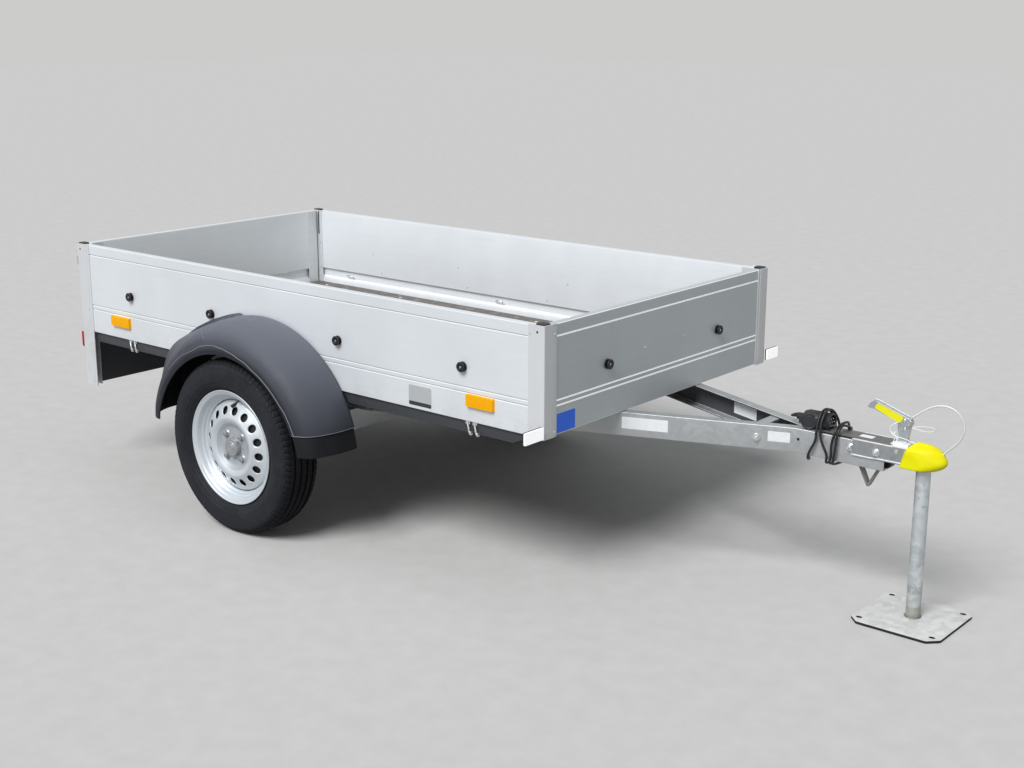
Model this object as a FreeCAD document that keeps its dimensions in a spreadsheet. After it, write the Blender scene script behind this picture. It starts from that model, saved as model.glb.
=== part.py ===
import FreeCAD, Part
import math
import os
import Sketcher

# Single axle utility trailer parked on its wheels and on a coupling stand.
# Frame: millimetres, +X forward to the coupling, +Y left, +Z up.
# The origin lies on the ground under the middle of the overall length.
# Along X, the code counts stations forward from the rear face of the rear posts.

os.makedirs("parts", exist_ok=True)
Vec = FreeCAD.Vector
doc = FreeCAD.newDocument("utility_trailer")

# Driving dimensions: name, value
DIMENSIONS = [
    ("origin_x", 1520), ("box_length", 2110), ("box_width", 1154),
    ("post_top", 792), ("post_foot", 282), ("post_gauge", 4), ("cap_height", 3), ("cap_side", 41),
    ("rear_leg", 64), ("front_leg", 57), ("front_wrap", 55), ("inner_leg", 50), ("trim_gauge", 2),
    ("wall_top", 790), ("wall_bottom", 480), ("wall_thick", 25),
    ("groove_depth", 2.5), ("groove_half", 2), ("recess_depth", 8),
    ("floor_top", 500), ("floor_thick", 12), ("floor_half", 545), ("gate_gap", 7),
    ("rail_outer", 565), ("rail_width", 35), ("rail_foot", 445), ("rail_gauge", 3),
    ("axle_x", 1004), ("wheel_z", 279), ("wheel_y", 694),
    ("tyre_radius", 279), ("tyre_half", 72.5), ("bead_half", 49),
    ("rim_radius", 182.5), ("rim_half", 58.7),
    ("vent_count", 16), ("vent_circle", 116), ("vent_radius", 12.5), ("bolt_circle", 49),
    ("drawbar_foot", 408), ("drawbar_height", 70), ("drawbar_width", 33), ("drawbar_gauge", 4),
    ("drawbar_slope", 0.381), ("drawbar_rear_y", 500), ("drawbar_nose_y", 35),
    ("drawbar_front_y", 214), ("drawbar_front_x", 2101), ("drawbar_rear_x", 1090), ("nose_x", 2837),
    ("beam_x", 1149), ("beam_z", 324), ("beam_side", 70), ("beam_half", 545), ("beam_gauge", 5),
    ("ball_x", 2935), ("ball_z", 445), ("ball_radius", 25), ("dock_tip", 3000),
    ("tube_radius", 21.2), ("tube_bore", 18), ("plate_side", 250), ("plate_thick", 8),
    ("plate_corner", 30), ("plate_holes", 200), ("plate_hole_radius", 7),
    ("guard_sweep", 190), ("guard_x", -12), ("guard_z", -30), ("guard_foot", 312),
    ("arch_x", -6), ("arch_z", -43), ("arch_radius", 335), ("hinge_x", -13), ("hinge_z", 486), ("hinge_y", 260),
    ("knuckle_radius", 6), ("pin_radius", 3),
    ("button_z", 636), ("button_radius", 17), ("button_height", 14),
    ("lamp_depth", 20), ("lamp_foot", 412), ("lamp_height", 62), ("lamp_inner", 330), ("lamp_width", 235),
    ("panel_foot", 277), ("panel_top", 478), ("panel_gauge", 3),
]

sheet = doc.addObject("Spreadsheet::Sheet", "Dims")
for row, (name, value) in enumerate(DIMENSIONS, start=1):
    sheet.set(f"A{row}", name)
    sheet.set(f"B{row}", str(value))
    sheet.setAlias(f"B{row}", name)
doc.recompute()
DIM = {name: float(value) for name, value in DIMENSIONS}
PARTS = []


def keep(obj, label):
    """Names a finished sub-part and keeps it for export."""
    obj.Label = label
    PARTS.append(obj)
    return obj


def value_of(expression):
    """The number that an expression on the sheet gives."""
    probe = doc.addObject("App::FeaturePython", "probe")
    probe.addProperty("App::PropertyFloat", "number")
    probe.setExpression("number", expression)
    probe.recompute()
    number = probe.number
    doc.removeObject(probe.Name)
    return number


def fill_sketch(sketch, corners):
    """Closed outline of straight lines, with each corner bound to two expressions."""
    points = [Vec(value_of(across), value_of(up), 0) for across, up in corners]
    count = len(points)
    for i in range(count):
        sketch.addGeometry(Part.LineSegment(points[i], points[(i + 1) % count]), False)
    for i in range(count):
        sketch.addConstraint(Sketcher.Constraint("Coincident", i, 2, (i + 1) % count, 1))
    for i, corner in enumerate(corners):
        for kind, expression, number in zip(("DistanceX", "DistanceY"), corner, points[i]):
            index = sketch.addConstraint(Sketcher.Constraint(kind, -1, 1, i, 1, number))
            sketch.setExpression(f"Constraints[{index}]", expression)


def add_sketch(body, role, name):
    """Empty sketch on one of the body's own origin planes."""
    sketch = body.newObject("Sketcher::SketchObject", name)
    plane = [feature for feature in body.Origin.OriginFeatures if feature.Role == role][0]
    sketch.AttachmentSupport = [(plane, "")]
    sketch.MapMode = "FlatFace"
    return sketch


def place(obj, at, turn=0, axis=(0, 0, 1)):
    """Places an object by its station, its two other expressions and a turn in degrees."""
    obj.Placement = FreeCAD.Placement(Vec(0, 0, 0), FreeCAD.Rotation(Vec(*axis), turn))
    for letter, expression in zip("xyz", (f"{at[0]} - Dims.origin_x", at[1], at[2])):
        obj.setExpression(f"Placement.Base.{letter}", expression)


def padded(name, role, corners, length, at=("0", "0", "0"), turn=0):
    """PartDesign body: one straight-sided profile, padded by an expression."""
    body = doc.addObject("PartDesign::Body", name)
    fill_sketch(add_sketch(body, role, name + "_profile"), corners)
    pad = body.newObject("PartDesign::Pad", name + "_pad")
    pad.Profile = doc.getObject(name + "_profile")
    pad.setExpression("Length", length)
    place(body, at, turn)
    return body


def block(name, size, at):
    """Box whose three sizes and corner are expressions."""
    box = doc.addObject("Part::Box", name)
    for side, expression in zip(("Length", "Width", "Height"), size):
        box.setExpression(side, expression)
    place(box, at)
    return box


def rod(name, radius, length, at, turn=0, axis=(0, 0, 1)):
    """Cylinder along local Z with its radius and length as expressions."""
    cylinder = doc.addObject("Part::Cylinder", name)
    cylinder.setExpression("Radius", radius)
    cylinder.setExpression("Height", length)
    place(cylinder, at, turn, axis)
    return cylinder


def cut(name, base, tool):
    """One shape less another."""
    result = doc.addObject("Part::Cut", name)
    result.Base = base
    result.Tool = tool
    return result


def fuse(name, shapes):
    """Several touching shapes as one solid."""
    result = doc.addObject("Part::MultiFuse", name)
    result.Shapes = shapes
    result.Refine = True
    return result


def gather(name, shapes):
    """Like pieces that don't touch, kept in one node."""
    result = doc.addObject("Part::Compound", name)
    result.Links = shapes
    return result


def feature(name, shape, at=(0, 0, 0)):
    """Shape made by Part's own functions, with its Placement set afterwards."""
    result = doc.addObject("Part::Feature", name)
    result.Shape = shape
    place(result, [str(number) for number in at])
    return result


def bent_path(points, ratio=0.45):
    """Straight runs joined by tangent arcs, each as large as its two runs allow."""
    edges = []
    start = Vec(*points[0])
    radii = []
    for before, corner, after in zip(points, points[1:], points[2:]):
        corner = Vec(*corner)
        back = Vec(*before) - corner
        ahead = Vec(*after) - corner
        tangent = ratio * min(back.Length, ahead.Length)
        half = (math.pi - back.getAngle(ahead)) / 2
        radii.append(tangent / math.tan(half))
        first = corner + back.normalize() * tangent
        last = corner + ahead.normalize() * tangent
        bisector = (back + ahead).normalize()
        centre = corner + bisector * (radii[-1] / math.cos(half))
        middle = centre - bisector * radii[-1]
        edges.append(Part.LineSegment(start, first).toShape())
        edges.append(Part.Arc(first, middle, last).toShape())
        start = last
    edges.append(Part.LineSegment(start, Vec(*points[-1])).toShape())
    return Part.Wire(edges), radii


def bent_rod(points, diameter, ratio=0.45):
    """Round bar or cable along a bent path."""
    path, radii = bent_path(points, ratio)
    heading = Vec(*points[1]) - Vec(*points[0])
    section = Part.Wire(Part.Circle(Vec(*points[0]), heading, diameter / 2).toShape())
    return path.makePipeShell([section], True, False), path.Length, radii


# Floor and walls
def wall_section():
    """Outline of the wall extrusion: inner face at zero, outer face at minus thickness."""
    outer = "-Dims.wall_thick"
    height = "(Dims.wall_top - Dims.wall_bottom)"
    corners = [("0", "0"), ("0", "32"), ("-Dims.recess_depth", "46"), ("-Dims.recess_depth", "77"),
               ("0", "77"), ("0", height), (outer, height)]
    for groove in (276.5, 97.5, 82.5):
        corners.append((outer, f"{groove} + Dims.groove_half"))
        corners.append((f"{outer} + Dims.groove_depth", f"{groove}"))
        corners.append((outer, f"{groove} - Dims.groove_half"))
    corners.append((outer, "0"))
    return corners


inner_y = "(Dims.box_width / 2 - Dims.post_gauge - Dims.wall_thick)"
outer_y = "(Dims.box_width / 2 - Dims.post_gauge)"
side_length = "(Dims.box_length - 2 * Dims.post_gauge)"
front_inner = "(Dims.box_length - Dims.post_gauge - Dims.wall_thick)"

# Wall: label, length, station, y, turn
WALLS = [
    ("side_wall_right", side_length, "Dims.post_gauge", f"-{inner_y}", 0),
    ("side_wall_left", side_length, "Dims.box_length - Dims.post_gauge", inner_y, 180),
    ("front_wall", f"2 * {inner_y}", front_inner, f"-{inner_y}", 90),
    ("tailgate_panel", f"2 * ({inner_y} - Dims.gate_gap)", "Dims.wall_thick", f"{inner_y} - Dims.gate_gap", -90),
]
for label, length, x, y, turn in WALLS:
    keep(padded(label, "YZ_Plane", wall_section(), length, (x, y, "Dims.wall_bottom"), turn), label)

floor_rear = "(Dims.wall_thick + Dims.gate_gap)"
floor_front = f"({front_inner} - Dims.trim_gauge - 1)"
keep(block("floor_panel", (f"{floor_front} - {floor_rear}", "2 * Dims.floor_half", "Dims.floor_thick"),
           (floor_rear, "-Dims.floor_half", "Dims.floor_top - Dims.floor_thick")), "floor_panel")

# Corner posts, their inner trims and caps
wrap = "(Dims.post_gauge + Dims.wall_thick)"
lip = f"({wrap} + Dims.trim_gauge)"
gauge = "Dims.post_gauge"
half_width = "Dims.box_width / 2"

# Corner: side, end, station, y, turn
CORNERS = [
    ("right", "rear", "0", f"-{half_width}", 0),
    ("left", "rear", "0", half_width, -90),
    ("right", "front", "Dims.box_length", f"-{half_width}", 90),
    ("left", "front", "Dims.box_length", half_width, 180),
]


def swapped(corners, swap):
    """Outline mirrored about its diagonal where the corner is turned."""
    return [(up, across) for across, up in corners] if swap else corners


caps = []
trims = []
for side, end, x, y, turn in CORNERS:
    name = f"post_{end}_{side}"
    swap = (end == "rear") == (side == "left")
    if end == "rear":
        outline = [("0", "0"), ("Dims.rear_leg", "0"), ("Dims.rear_leg", gauge), (gauge, gauge),
                   (gauge, wrap), ("Dims.inner_leg", wrap), ("Dims.inner_leg", lip), ("0", lip)]
        cap_outline = [("0", "0"), ("Dims.cap_side", "0"), ("Dims.cap_side", lip), ("0", lip)]
        foot = "Dims.post_foot"
    else:
        outline = [("0", "0"), ("Dims.front_leg", "0"), ("Dims.front_leg", gauge), (gauge, gauge),
                   (gauge, "Dims.front_wrap"), ("0", "Dims.front_wrap")]
        cap_outline = [("0", "0"), ("Dims.cap_side", "0"), ("Dims.cap_side", "Dims.cap_side"),
                       ("0", "Dims.cap_side")]
        foot = "(Dims.wall_bottom - 3)"
        trim = [(wrap, wrap), (f"{wrap} + Dims.inner_leg", wrap), (f"{wrap} + Dims.inner_leg", lip),
                (lip, lip), (lip, f"{wrap} + Dims.inner_leg"), (wrap, f"{wrap} + Dims.inner_leg")]
        trims.append(padded(f"corner_trim_{side}", "XY_Plane", swapped(trim, swap),
                            "Dims.post_top - Dims.floor_top", (x, y, "Dims.floor_top"), turn))
    keep(padded(name, "XY_Plane", swapped(outline, swap), f"Dims.post_top - {foot}", (x, y, foot), turn), name)
    caps.append(padded(f"cap_{end}_{side}", "XY_Plane", swapped(cap_outline, swap), "Dims.cap_height",
                       (x, y, "Dims.post_top"), turn))
keep(gather("post_caps", caps), "post_caps")
keep(gather("corner_trims", trims), "corner_trims")

# Chassis rails under the side walls, and the bars that carry the floor
rail_height = "(Dims.wall_bottom - Dims.rail_foot)"
rail_start = "(Dims.rear_leg + 2)"
rail_end = "(Dims.box_length - 40)"
channel = [("0", "0"), ("Dims.rail_width", "0"), ("Dims.rail_width", "Dims.rail_gauge"),
           ("Dims.rail_gauge", "Dims.rail_gauge"), ("Dims.rail_gauge", f"{rail_height} - Dims.rail_gauge"),
           ("Dims.rail_width", f"{rail_height} - Dims.rail_gauge"), ("Dims.rail_width", rail_height),
           ("0", rail_height)]
for side, x, y, turn in (("right", rail_start, "-Dims.rail_outer", 0), ("left", rail_end, "Dims.rail_outer", 180)):
    name = f"side_rail_{side}"
    keep(padded(name, "YZ_Plane", channel, f"{rail_end} - {rail_start}", (x, y, "Dims.rail_foot"), turn), name)

bar_foot = "(Dims.drawbar_foot + Dims.drawbar_height)"
bar_top = "(Dims.floor_top - Dims.floor_thick)"
bar_half = "(Dims.rail_outer - Dims.rail_width)"
bars = []
for index, x in enumerate((510, 1190, 1670, 1995)):
    bars.append(block(f"floor_bar_{index}", ("50", f"2 * {bar_half}", f"{bar_top} - {bar_foot}"),
                      (str(x), f"-{bar_half}", bar_foot)))
beam_outside = block("rear_beam_outside", ("50", f"2 * {bar_half}", "40"), ("70", f"-{bar_half}", f"{bar_top} - 40"))
beam_inside = block("rear_beam_inside", ("44", f"2 * {bar_half}", "34"), ("73", f"-{bar_half}", f"{bar_top} - 37"))
bars.append(cut("rear_beam", beam_outside, beam_inside))
keep(gather("cross_members", bars), "cross_members")


# Drawbar: two channels that run from the axle to the nose
def drawbar_edge(sign, offset):
    """Plan line of one rail, moved inward by an offset with its two bends mitred."""
    run = "(Dims.drawbar_rear_y - Dims.drawbar_front_y)"
    reach = "(Dims.drawbar_front_y - Dims.drawbar_nose_y)"
    rear_bend = f"(Dims.drawbar_front_x - {run} / Dims.drawbar_slope)"
    nose_bend = f"(Dims.drawbar_front_x + {reach} / Dims.drawbar_slope)"
    mitre = f"({offset}) * tan(atan(Dims.drawbar_slope) / 2)"
    return [("Dims.drawbar_rear_x", f"{sign} * (Dims.drawbar_rear_y - ({offset}))"),
            (f"{rear_bend} - {mitre}", f"{sign} * (Dims.drawbar_rear_y - ({offset}))"),
            (f"{nose_bend} - {mitre}", f"{sign} * (Dims.drawbar_nose_y - ({offset}))"),
            ("Dims.nose_x", f"{sign} * (Dims.drawbar_nose_y - ({offset}))")]


for side, sign in (("right", -1), ("left", 1)):
    outline = drawbar_edge(sign, "0") + drawbar_edge(sign, "Dims.drawbar_width")[::-1]
    hollow = drawbar_edge(sign, "Dims.drawbar_gauge") + drawbar_edge(sign, "Dims.drawbar_width + 5")[::-1]
    solid = padded(f"drawbar_{side}_outside", "XY_Plane", outline, "Dims.drawbar_height",
                   ("0", "0", "Dims.drawbar_foot"))
    space = padded(f"drawbar_{side}_inside", "XY_Plane", hollow, "Dims.drawbar_height - 2 * Dims.drawbar_gauge",
                   ("0", "0", "Dims.drawbar_foot + Dims.drawbar_gauge"))
    keep(cut(f"drawbar_{side}", solid, space), f"drawbar_{side}")

brace_outline = [("2445", "-78.5"), ("2479", "-65.5"), ("2479", "65.5"), ("2445", "78.5")]
keep(padded("drawbar_brace", "XY_Plane", brace_outline, "6", ("0", "0", f"{bar_foot} - Dims.drawbar_gauge - 6")),
     "drawbar_brace")
keep(block("drawbar_end_cap", ("28", "56", "24"), ("Dims.nose_x", "-28", "Dims.drawbar_foot + 3")),
     "drawbar_end_cap")
foot_outline = [("0", "0"), ("8", "0"), ("35", "-42"), ("60", "0"), ("66", "0"), ("37", "-52"), ("33", "-52")]
keep(padded("drawbar_foot", "XZ_Plane", foot_outline, "16", ("2758", "8", "Dims.drawbar_foot")), "drawbar_foot")

# Coupling head, its handle and the soft cover
yoke_half = "(Dims.drawbar_nose_y + 3.5)"
yoke_section = [(f"-{yoke_half}", "0"), ("-Dims.drawbar_nose_y", "0"), ("-Dims.drawbar_nose_y", "41"),
                ("Dims.drawbar_nose_y", "41"), ("Dims.drawbar_nose_y", "0"), (yoke_half, "0"),
                (yoke_half, "46"), (f"-{yoke_half}", "46")]
yoke = padded("coupling_yoke", "YZ_Plane", yoke_section, "160", ("2746", "0", "437"))
neck = block("coupling_neck", ("36", "60", "20"), ("2890", "-30", "461"))
cup = doc.addObject("Part::Sphere", "coupling_cup")
cup.Radius = 33
place(cup, ("Dims.ball_x", "0", "Dims.ball_z"))
ball_space = doc.addObject("Part::Sphere", "ball_space")
ball_space.setExpression("Radius", "Dims.ball_radius + 0.1")
place(ball_space, ("Dims.ball_x", "0", "Dims.ball_z"))
below = block("below_cup", ("100", "100", "50"), ("Dims.ball_x - 50", "-50", "Dims.ball_z - 57"))
keep(cut("coupling_open", fuse("coupling_raw", [yoke, neck, cup]), fuse("coupling_void", [ball_space, below])),
     "coupling_head")

handle_outline = [("2857", "483"), ("2887", "483"), ("2881", "520"), ("2889", "548"), ("2883", "562"),
                  ("2783", "594"), ("2763", "571"), ("2766", "565"), ("2842", "541"), ("2857", "528")]
handle_inside = [("2853", "480"), ("2883", "480"), ("2878", "520"), ("2885", "548"), ("2881", "559"),
                 ("2784", "590"), ("2760", "560"), ("2842", "532"), ("2850", "528")]
handle_solid = padded("handle_solid", "XZ_Plane", handle_outline, "24", ("0", "12", "0"))
handle_space = padded("handle_space", "XZ_Plane", handle_inside, "19", ("0", "9.5", "0"))
keep(cut("coupling_handle", handle_solid, handle_space), "coupling_handle")

DOCK_HALF = 42
DOCK_SKIN = 3.5
DOCK_FOOT = 417
DOCK_CROWN = 496
DOCK_BROW = 2913


def dock_form(half, crown, tip, foot, rear):
    """Solid with a domed side outline and a round-nosed plan, its rear outline given as x, z points."""
    points = [Vec(x, 0, z) for x, z in rear] + [Vec(DOCK_BROW, 0, crown)]
    edges = [Part.makeLine(first, second) for first, second in zip(points, points[1:])]
    edges.append(Part.Arc(points[-1], Vec(DOCK_BROW + 55, 0, crown - 10), Vec(tip, 0, 452)).toShape())
    edges.append(Part.Arc(Vec(tip, 0, 452), Vec(tip - 12, 0, 432), Vec(tip - 40, 0, foot)).toShape())
    edges.append(Part.makeLine(Vec(tip - 40, 0, foot), points[0]))
    side = Part.Face(Part.Wire(edges)).extrude(Vec(0, 4 * half, 0))
    side.translate(Vec(0, -2 * half, 0))
    nose = tip - half
    end = tip + 6
    start = points[0].x - 10
    low = foot - 10
    plan = Part.Wire([Part.makeLine(Vec(start, -half, low), Vec(nose, -half, low)),
                      Part.Arc(Vec(nose, -half, low), Vec(end, 0, low), Vec(nose, half, low)).toShape(),
                      Part.makeLine(Vec(nose, half, low), Vec(start, half, low)),
                      Part.makeLine(Vec(start, half, low), Vec(start, -half, low))])
    return side.common(Part.Face(plan).extrude(Vec(0, 0, 120)))


dock_outside = dock_form(DOCK_HALF, DOCK_CROWN, DIM["dock_tip"], DOCK_FOOT, [(2866, DOCK_FOOT), (2885, 471)])
inner_crown = DOCK_CROWN - DOCK_SKIN
dock_inside = dock_form(DOCK_HALF - DOCK_SKIN, inner_crown, DIM["dock_tip"] - DOCK_SKIN, DOCK_FOOT - 8,
                        [(2840, DOCK_FOOT - 8), (2840, inner_crown)])
keep(feature("soft_dock", dock_outside.cut(dock_inside)), "soft_dock")

# Coupling stand
pipe = cut("stand_pipe", rod("stand_outside", "Dims.tube_radius", "410 - Dims.plate_thick",
                             ("Dims.ball_x", "0", "Dims.plate_thick")),
           rod("stand_inside", "Dims.tube_bore", "400 - Dims.plate_thick",
               ("Dims.ball_x", "0", "Dims.plate_thick")))
stand_ball = doc.addObject("Part::Sphere", "stand_ball")
stand_ball.setExpression("Radius", "Dims.ball_radius")
place(stand_ball, ("Dims.ball_x", "0", "Dims.ball_z"))
keep(fuse("stand_tube", [pipe, rod("stand_neck", "15", "20", ("Dims.ball_x", "0", "408")), stand_ball]),
     "stand_tube")

edge_half = "Dims.plate_side / 2"
inner_half = f"({edge_half} - Dims.plate_corner)"
plate_outline = []
for u, v in (("-", "-"), ("", "-"), ("", ""), ("-", "")):
    near = (f"{u}{inner_half}", f"{v}{edge_half}")
    far = (f"{u}{edge_half}", f"{v}{inner_half}")
    plate_outline += [far, near] if u == v else [near, far]
plate = padded("plate_blank", "XY_Plane", plate_outline, "Dims.plate_thick", ("Dims.ball_x", "0", "0"))
holes = []
for index, (u, v) in enumerate(((-1, -1), (1, -1), (1, 1), (-1, 1))):
    holes.append(rod(f"plate_hole_{index}", "Dims.plate_hole_radius", "20",
                     (f"Dims.ball_x + {u} * Dims.plate_holes / 2", f"{v} * Dims.plate_holes / 2", "-5")))
keep(cut("stand_plate", plate, gather("plate_holes_all", holes)), "stand_plate")

# Axle beam, its brackets and the trailing arms
half_side = "Dims.beam_side / 2"
beam_outer = block("beam_outer", ("Dims.beam_side", "2 * Dims.beam_half", "Dims.beam_side"),
                   (f"Dims.beam_x - {half_side}", "-Dims.beam_half", f"Dims.beam_z - {half_side}"))
beam_bore = block("beam_bore", ("Dims.beam_side - 2 * Dims.beam_gauge", "2 * Dims.beam_half + 2",
                                "Dims.beam_side - 2 * Dims.beam_gauge"),
                  (f"Dims.beam_x - {half_side} + Dims.beam_gauge", "-Dims.beam_half - 1",
                   f"Dims.beam_z - {half_side} + Dims.beam_gauge"))
keep(cut("axle_beam", beam_outer, beam_bore), "axle_beam")

bracket_height = f"(Dims.drawbar_foot - Dims.beam_z - {half_side})"
brackets = []
for side, y in (("right", "-Dims.drawbar_rear_y"), ("left", "Dims.drawbar_rear_y - 32")):
    solid = block(f"bracket_{side}_outside", ("110", "32", bracket_height),
                  ("Dims.beam_x - 55", y, f"Dims.beam_z + {half_side}"))
    space = block(f"bracket_{side}_inside", ("100", "40", f"{bracket_height} - 10"),
                  ("Dims.beam_x - 50", f"{y} - 4", f"Dims.beam_z + {half_side} + 5"))
    brackets.append(cut(f"bracket_{side}", solid, space))
keep(gather("axle_brackets", brackets), "axle_brackets")


def link_plate(first, second, thick):
    """Plate round two circles in the XZ plane: each is x, z and radius."""
    (ax, az, ar), (bx, bz, br) = first, second
    span = math.hypot(bx - ax, bz - az)
    lean = math.asin((ar - br) / span)
    heading = math.atan2(bz - az, bx - ax)
    ends = [Part.makeCylinder(radius, thick, Vec(x, 0, z), Vec(0, 1, 0)) for x, z, radius in (first, second)]
    corners = []
    for x, z, radius, sign in ((ax, az, ar, 1), (bx, bz, br, 1), (bx, bz, br, -1), (ax, az, ar, -1)):
        angle = heading + sign * (math.pi / 2 - lean)
        corners.append(Vec(x + radius * math.cos(angle), 0, z + radius * math.sin(angle)))
    web = Part.Face(Part.makePolygon(corners + corners[:1])).extrude(Vec(0, thick, 0))
    return ends[0].fuse([ends[1], web]).removeSplitter()


ARM_THICK = 20
for side, sign in (("right", -1), ("left", 1)):
    arm = link_plate((DIM["beam_x"], DIM["beam_z"], 40), (DIM["axle_x"], DIM["wheel_z"], 30), ARM_THICK)
    arm.translate(Vec(0, DIM["beam_half"] if sign > 0 else -DIM["beam_half"] - ARM_THICK, 0))
    stub = Part.makeCylinder(15, 126, Vec(DIM["axle_x"], sign * (DIM["beam_half"] + 15), DIM["wheel_z"]),
                             Vec(0, sign, 0))
    keep(feature(f"swing_arm_{side}", arm.fuse(stub).removeSplitter()), f"swing_arm_{side}")


# Wheels: hub, vented steel rim and tyre, all turned about the wheel's own Y axis
def turned(name, corners, at, turn):
    """PartDesign revolution of a closed outline about Y: corners are across Y and radius."""
    body = doc.addObject("PartDesign::Body", name)
    profile = add_sketch(body, "YZ_Plane", name + "_profile")
    fill_sketch(profile, corners)
    revolution = body.newObject("PartDesign::Revolution", name + "_turn")
    revolution.Profile = profile
    revolution.ReferenceAxis = (profile, ["H_Axis"])
    revolution.Angle = 360
    place(body, at, turn)
    return body


def rim_outline():
    """Section of a pressed rim with its dished disc, for a wheel that faces +Y."""
    flange = "Dims.rim_radius"
    half = "Dims.rim_half"
    barrel = [(f"-{half}", flange), (f"-{half} + 5", flange), (f"-{half} + 8", "168"), (f"-{half} + 22", "164"),
              ("-20", "150"), ("20", "150"), (f"{half} - 22", "164"), (f"{half} - 8", "168"),
              (f"{half} - 5", flange), (half, flange), (half, f"{flange} - 3"), (f"{half} - 4", "165"),
              (f"{half} - 22", "160"), ("26", "148")]
    disc = [("25", "128"), ("28", "103"), ("36", "88.5"), ("38", "82"), ("38", "70"), ("28", "64"),
            ("28", "30"), ("22", "30"), ("22", "64"), ("32", "72"), ("32", "82"), ("24", "100"), ("20", "128")]
    back = [("18", "146"), ("-20", "146"), (f"-{half} + 22", "160"), (f"-{half} + 4", "165"),
            (f"-{half}", f"{flange} - 3")]
    return barrel + disc + back


hub_outline = [("-54", "15.5"), ("-54", "40"), ("10", "42"), ("10", "64"), ("22", "64"), ("22", "29.5"),
               ("50", "29.5"), ("52", "24"), ("52", "0"), ("-4", "0"), ("-4", "15.5")]
for side, sign, turn in (("right", -1, 180), ("left", 1, 0)):
    centre = ("Dims.axle_x", f"{sign} * Dims.wheel_y", "Dims.wheel_z")
    rim_body = turned(f"rim_{side}", rim_outline(), centre, turn)
    doc.recompute()
    hole = add_sketch(rim_body, "XZ_Plane", f"vent_{side}")
    hole.addGeometry(Part.Circle(Vec(0, DIM["vent_circle"], 0), Vec(0, 0, 1), DIM["vent_radius"]), False)
    hole.addConstraint(Sketcher.Constraint("PointOnObject", 0, 3, -2))
    radius_index = hole.addConstraint(Sketcher.Constraint("Radius", 0, DIM["vent_radius"]))
    hole.setExpression(f"Constraints[{radius_index}]", "Dims.vent_radius")
    circle_index = hole.addConstraint(Sketcher.Constraint("DistanceY", -1, 1, 0, 3, DIM["vent_circle"]))
    hole.setExpression(f"Constraints[{circle_index}]", "Dims.vent_circle")
    pocket = rim_body.newObject("PartDesign::Pocket", f"vent_pocket_{side}")
    pocket.Profile = hole
    pocket.Type = "ThroughAll"
    pocket.Midplane = True
    pattern = rim_body.newObject("PartDesign::PolarPattern", f"vent_pattern_{side}")
    pattern.Originals = [pocket]
    pattern.Axis = ([f for f in rim_body.Origin.OriginFeatures if f.Role == "Y_Axis"][0], [""])
    pattern.Angle = 360
    pattern.setExpression("Occurrences", "Dims.vent_count")
    rim_body.Tip = pattern
    keep(rim_body, f"rim_{side}")

    pieces = [turned(f"hub_{side}_body", hub_outline, centre, turn)]
    for index in range(4):
        angle = math.radians(45 + 90 * index)
        at = (f"Dims.axle_x + {math.cos(angle):.6f} * Dims.bolt_circle", f"{sign} * (Dims.wheel_y + 28)",
              f"Dims.wheel_z + {math.sin(angle):.6f} * Dims.bolt_circle")
        pieces.append(rod(f"bolt_{side}_{index}", "9", "12", at, -90 * sign, (1, 0, 0)))
    keep(gather(f"hub_{side}", pieces), f"hub_{side}")


def tyre_shape():
    """Tyre with a rounded shoulder and four grooves round its tread."""
    radius = DIM["tyre_radius"]
    half = DIM["tyre_half"]
    bead = DIM["bead_half"]
    seat = DIM["rim_half"] - 22
    base = 164 + (bead - seat) * 4 / 14
    tread = []
    for groove in (-36, -12, 12, 36):
        crown = radius - 0.0012 * (groove * groove - 144)
        tread += [(groove - 4, crown), (groove - 3, crown - 6), (groove + 3, crown - 6), (groove + 4, crown)]
    edges = []
    for run in ([(-60, 268), (-54, 274)] + tread + [(54, 274), (60, 268)],
                [(bead, 185), (bead, base), (seat, 164), (-seat, 164), (-bead, base), (-bead, 185)]):
        for first, second in zip(run, run[1:]):
            edges.append(Part.makeLine(Vec(0, *first), Vec(0, *second)))
    for sign in (-1, 1):
        edges.append(Part.Arc(Vec(0, sign * bead, 185), Vec(0, sign * half, 225), Vec(0, sign * 60, 268)).toShape())
    outline = Part.Wire(Part.__sortEdges__(edges))
    return Part.Face(outline).revolve(Vec(0, 0, 0), Vec(0, 1, 0), 360)


for side, sign in (("right", -1), ("left", 1)):
    keep(feature(f"tyre_{side}", tyre_shape(), (DIM["axle_x"], sign * DIM["wheel_y"], DIM["wheel_z"])),
         f"tyre_{side}")


# Mudguards and their stays
def mudguard_shape(sign):
    """Moulded guard, turned about a line below and behind the axle: inner wall, domed crown and skirt."""
    outline = [(578, 365), (578, 415), (690, 405), (720, 393), (742, 376), (757, 355), (764, 334), (765, 285),
               (762, 285), (761, 333), (754, 353), (739, 373), (718, 390), (689, 402), (581, 412), (581, 365)]
    points = [Vec(0, sign * y, radius) for y, radius in outline]
    face = Part.Face(Part.makePolygon(points + points[:1]))
    face.rotate(Vec(0, 0, 0), Vec(0, 1, 0), -DIM["guard_sweep"] / 2)
    shell = face.revolve(Vec(0, 0, 0), Vec(0, 1, 0), DIM["guard_sweep"])
    # The skirt ends on an arc round the wheel, and both ends of the guard are level.
    skirt = DIM["wheel_y"] - 4
    arch_at = Vec(DIM["arch_x"] - DIM["guard_x"], sign * skirt, DIM["arch_z"] - DIM["guard_z"])
    arch = Part.makeCylinder(DIM["arch_radius"], 2 * DIM["tyre_half"], arch_at, Vec(0, sign, 0))
    reach = 500
    foot = DIM["guard_foot"] - DIM["wheel_z"] - DIM["guard_z"]
    ground = Part.makeBox(2 * reach, 4 * reach, reach, Vec(-reach, -2 * reach, foot - reach))
    return shell.cut(arch).cut(ground).removeSplitter()


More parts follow.
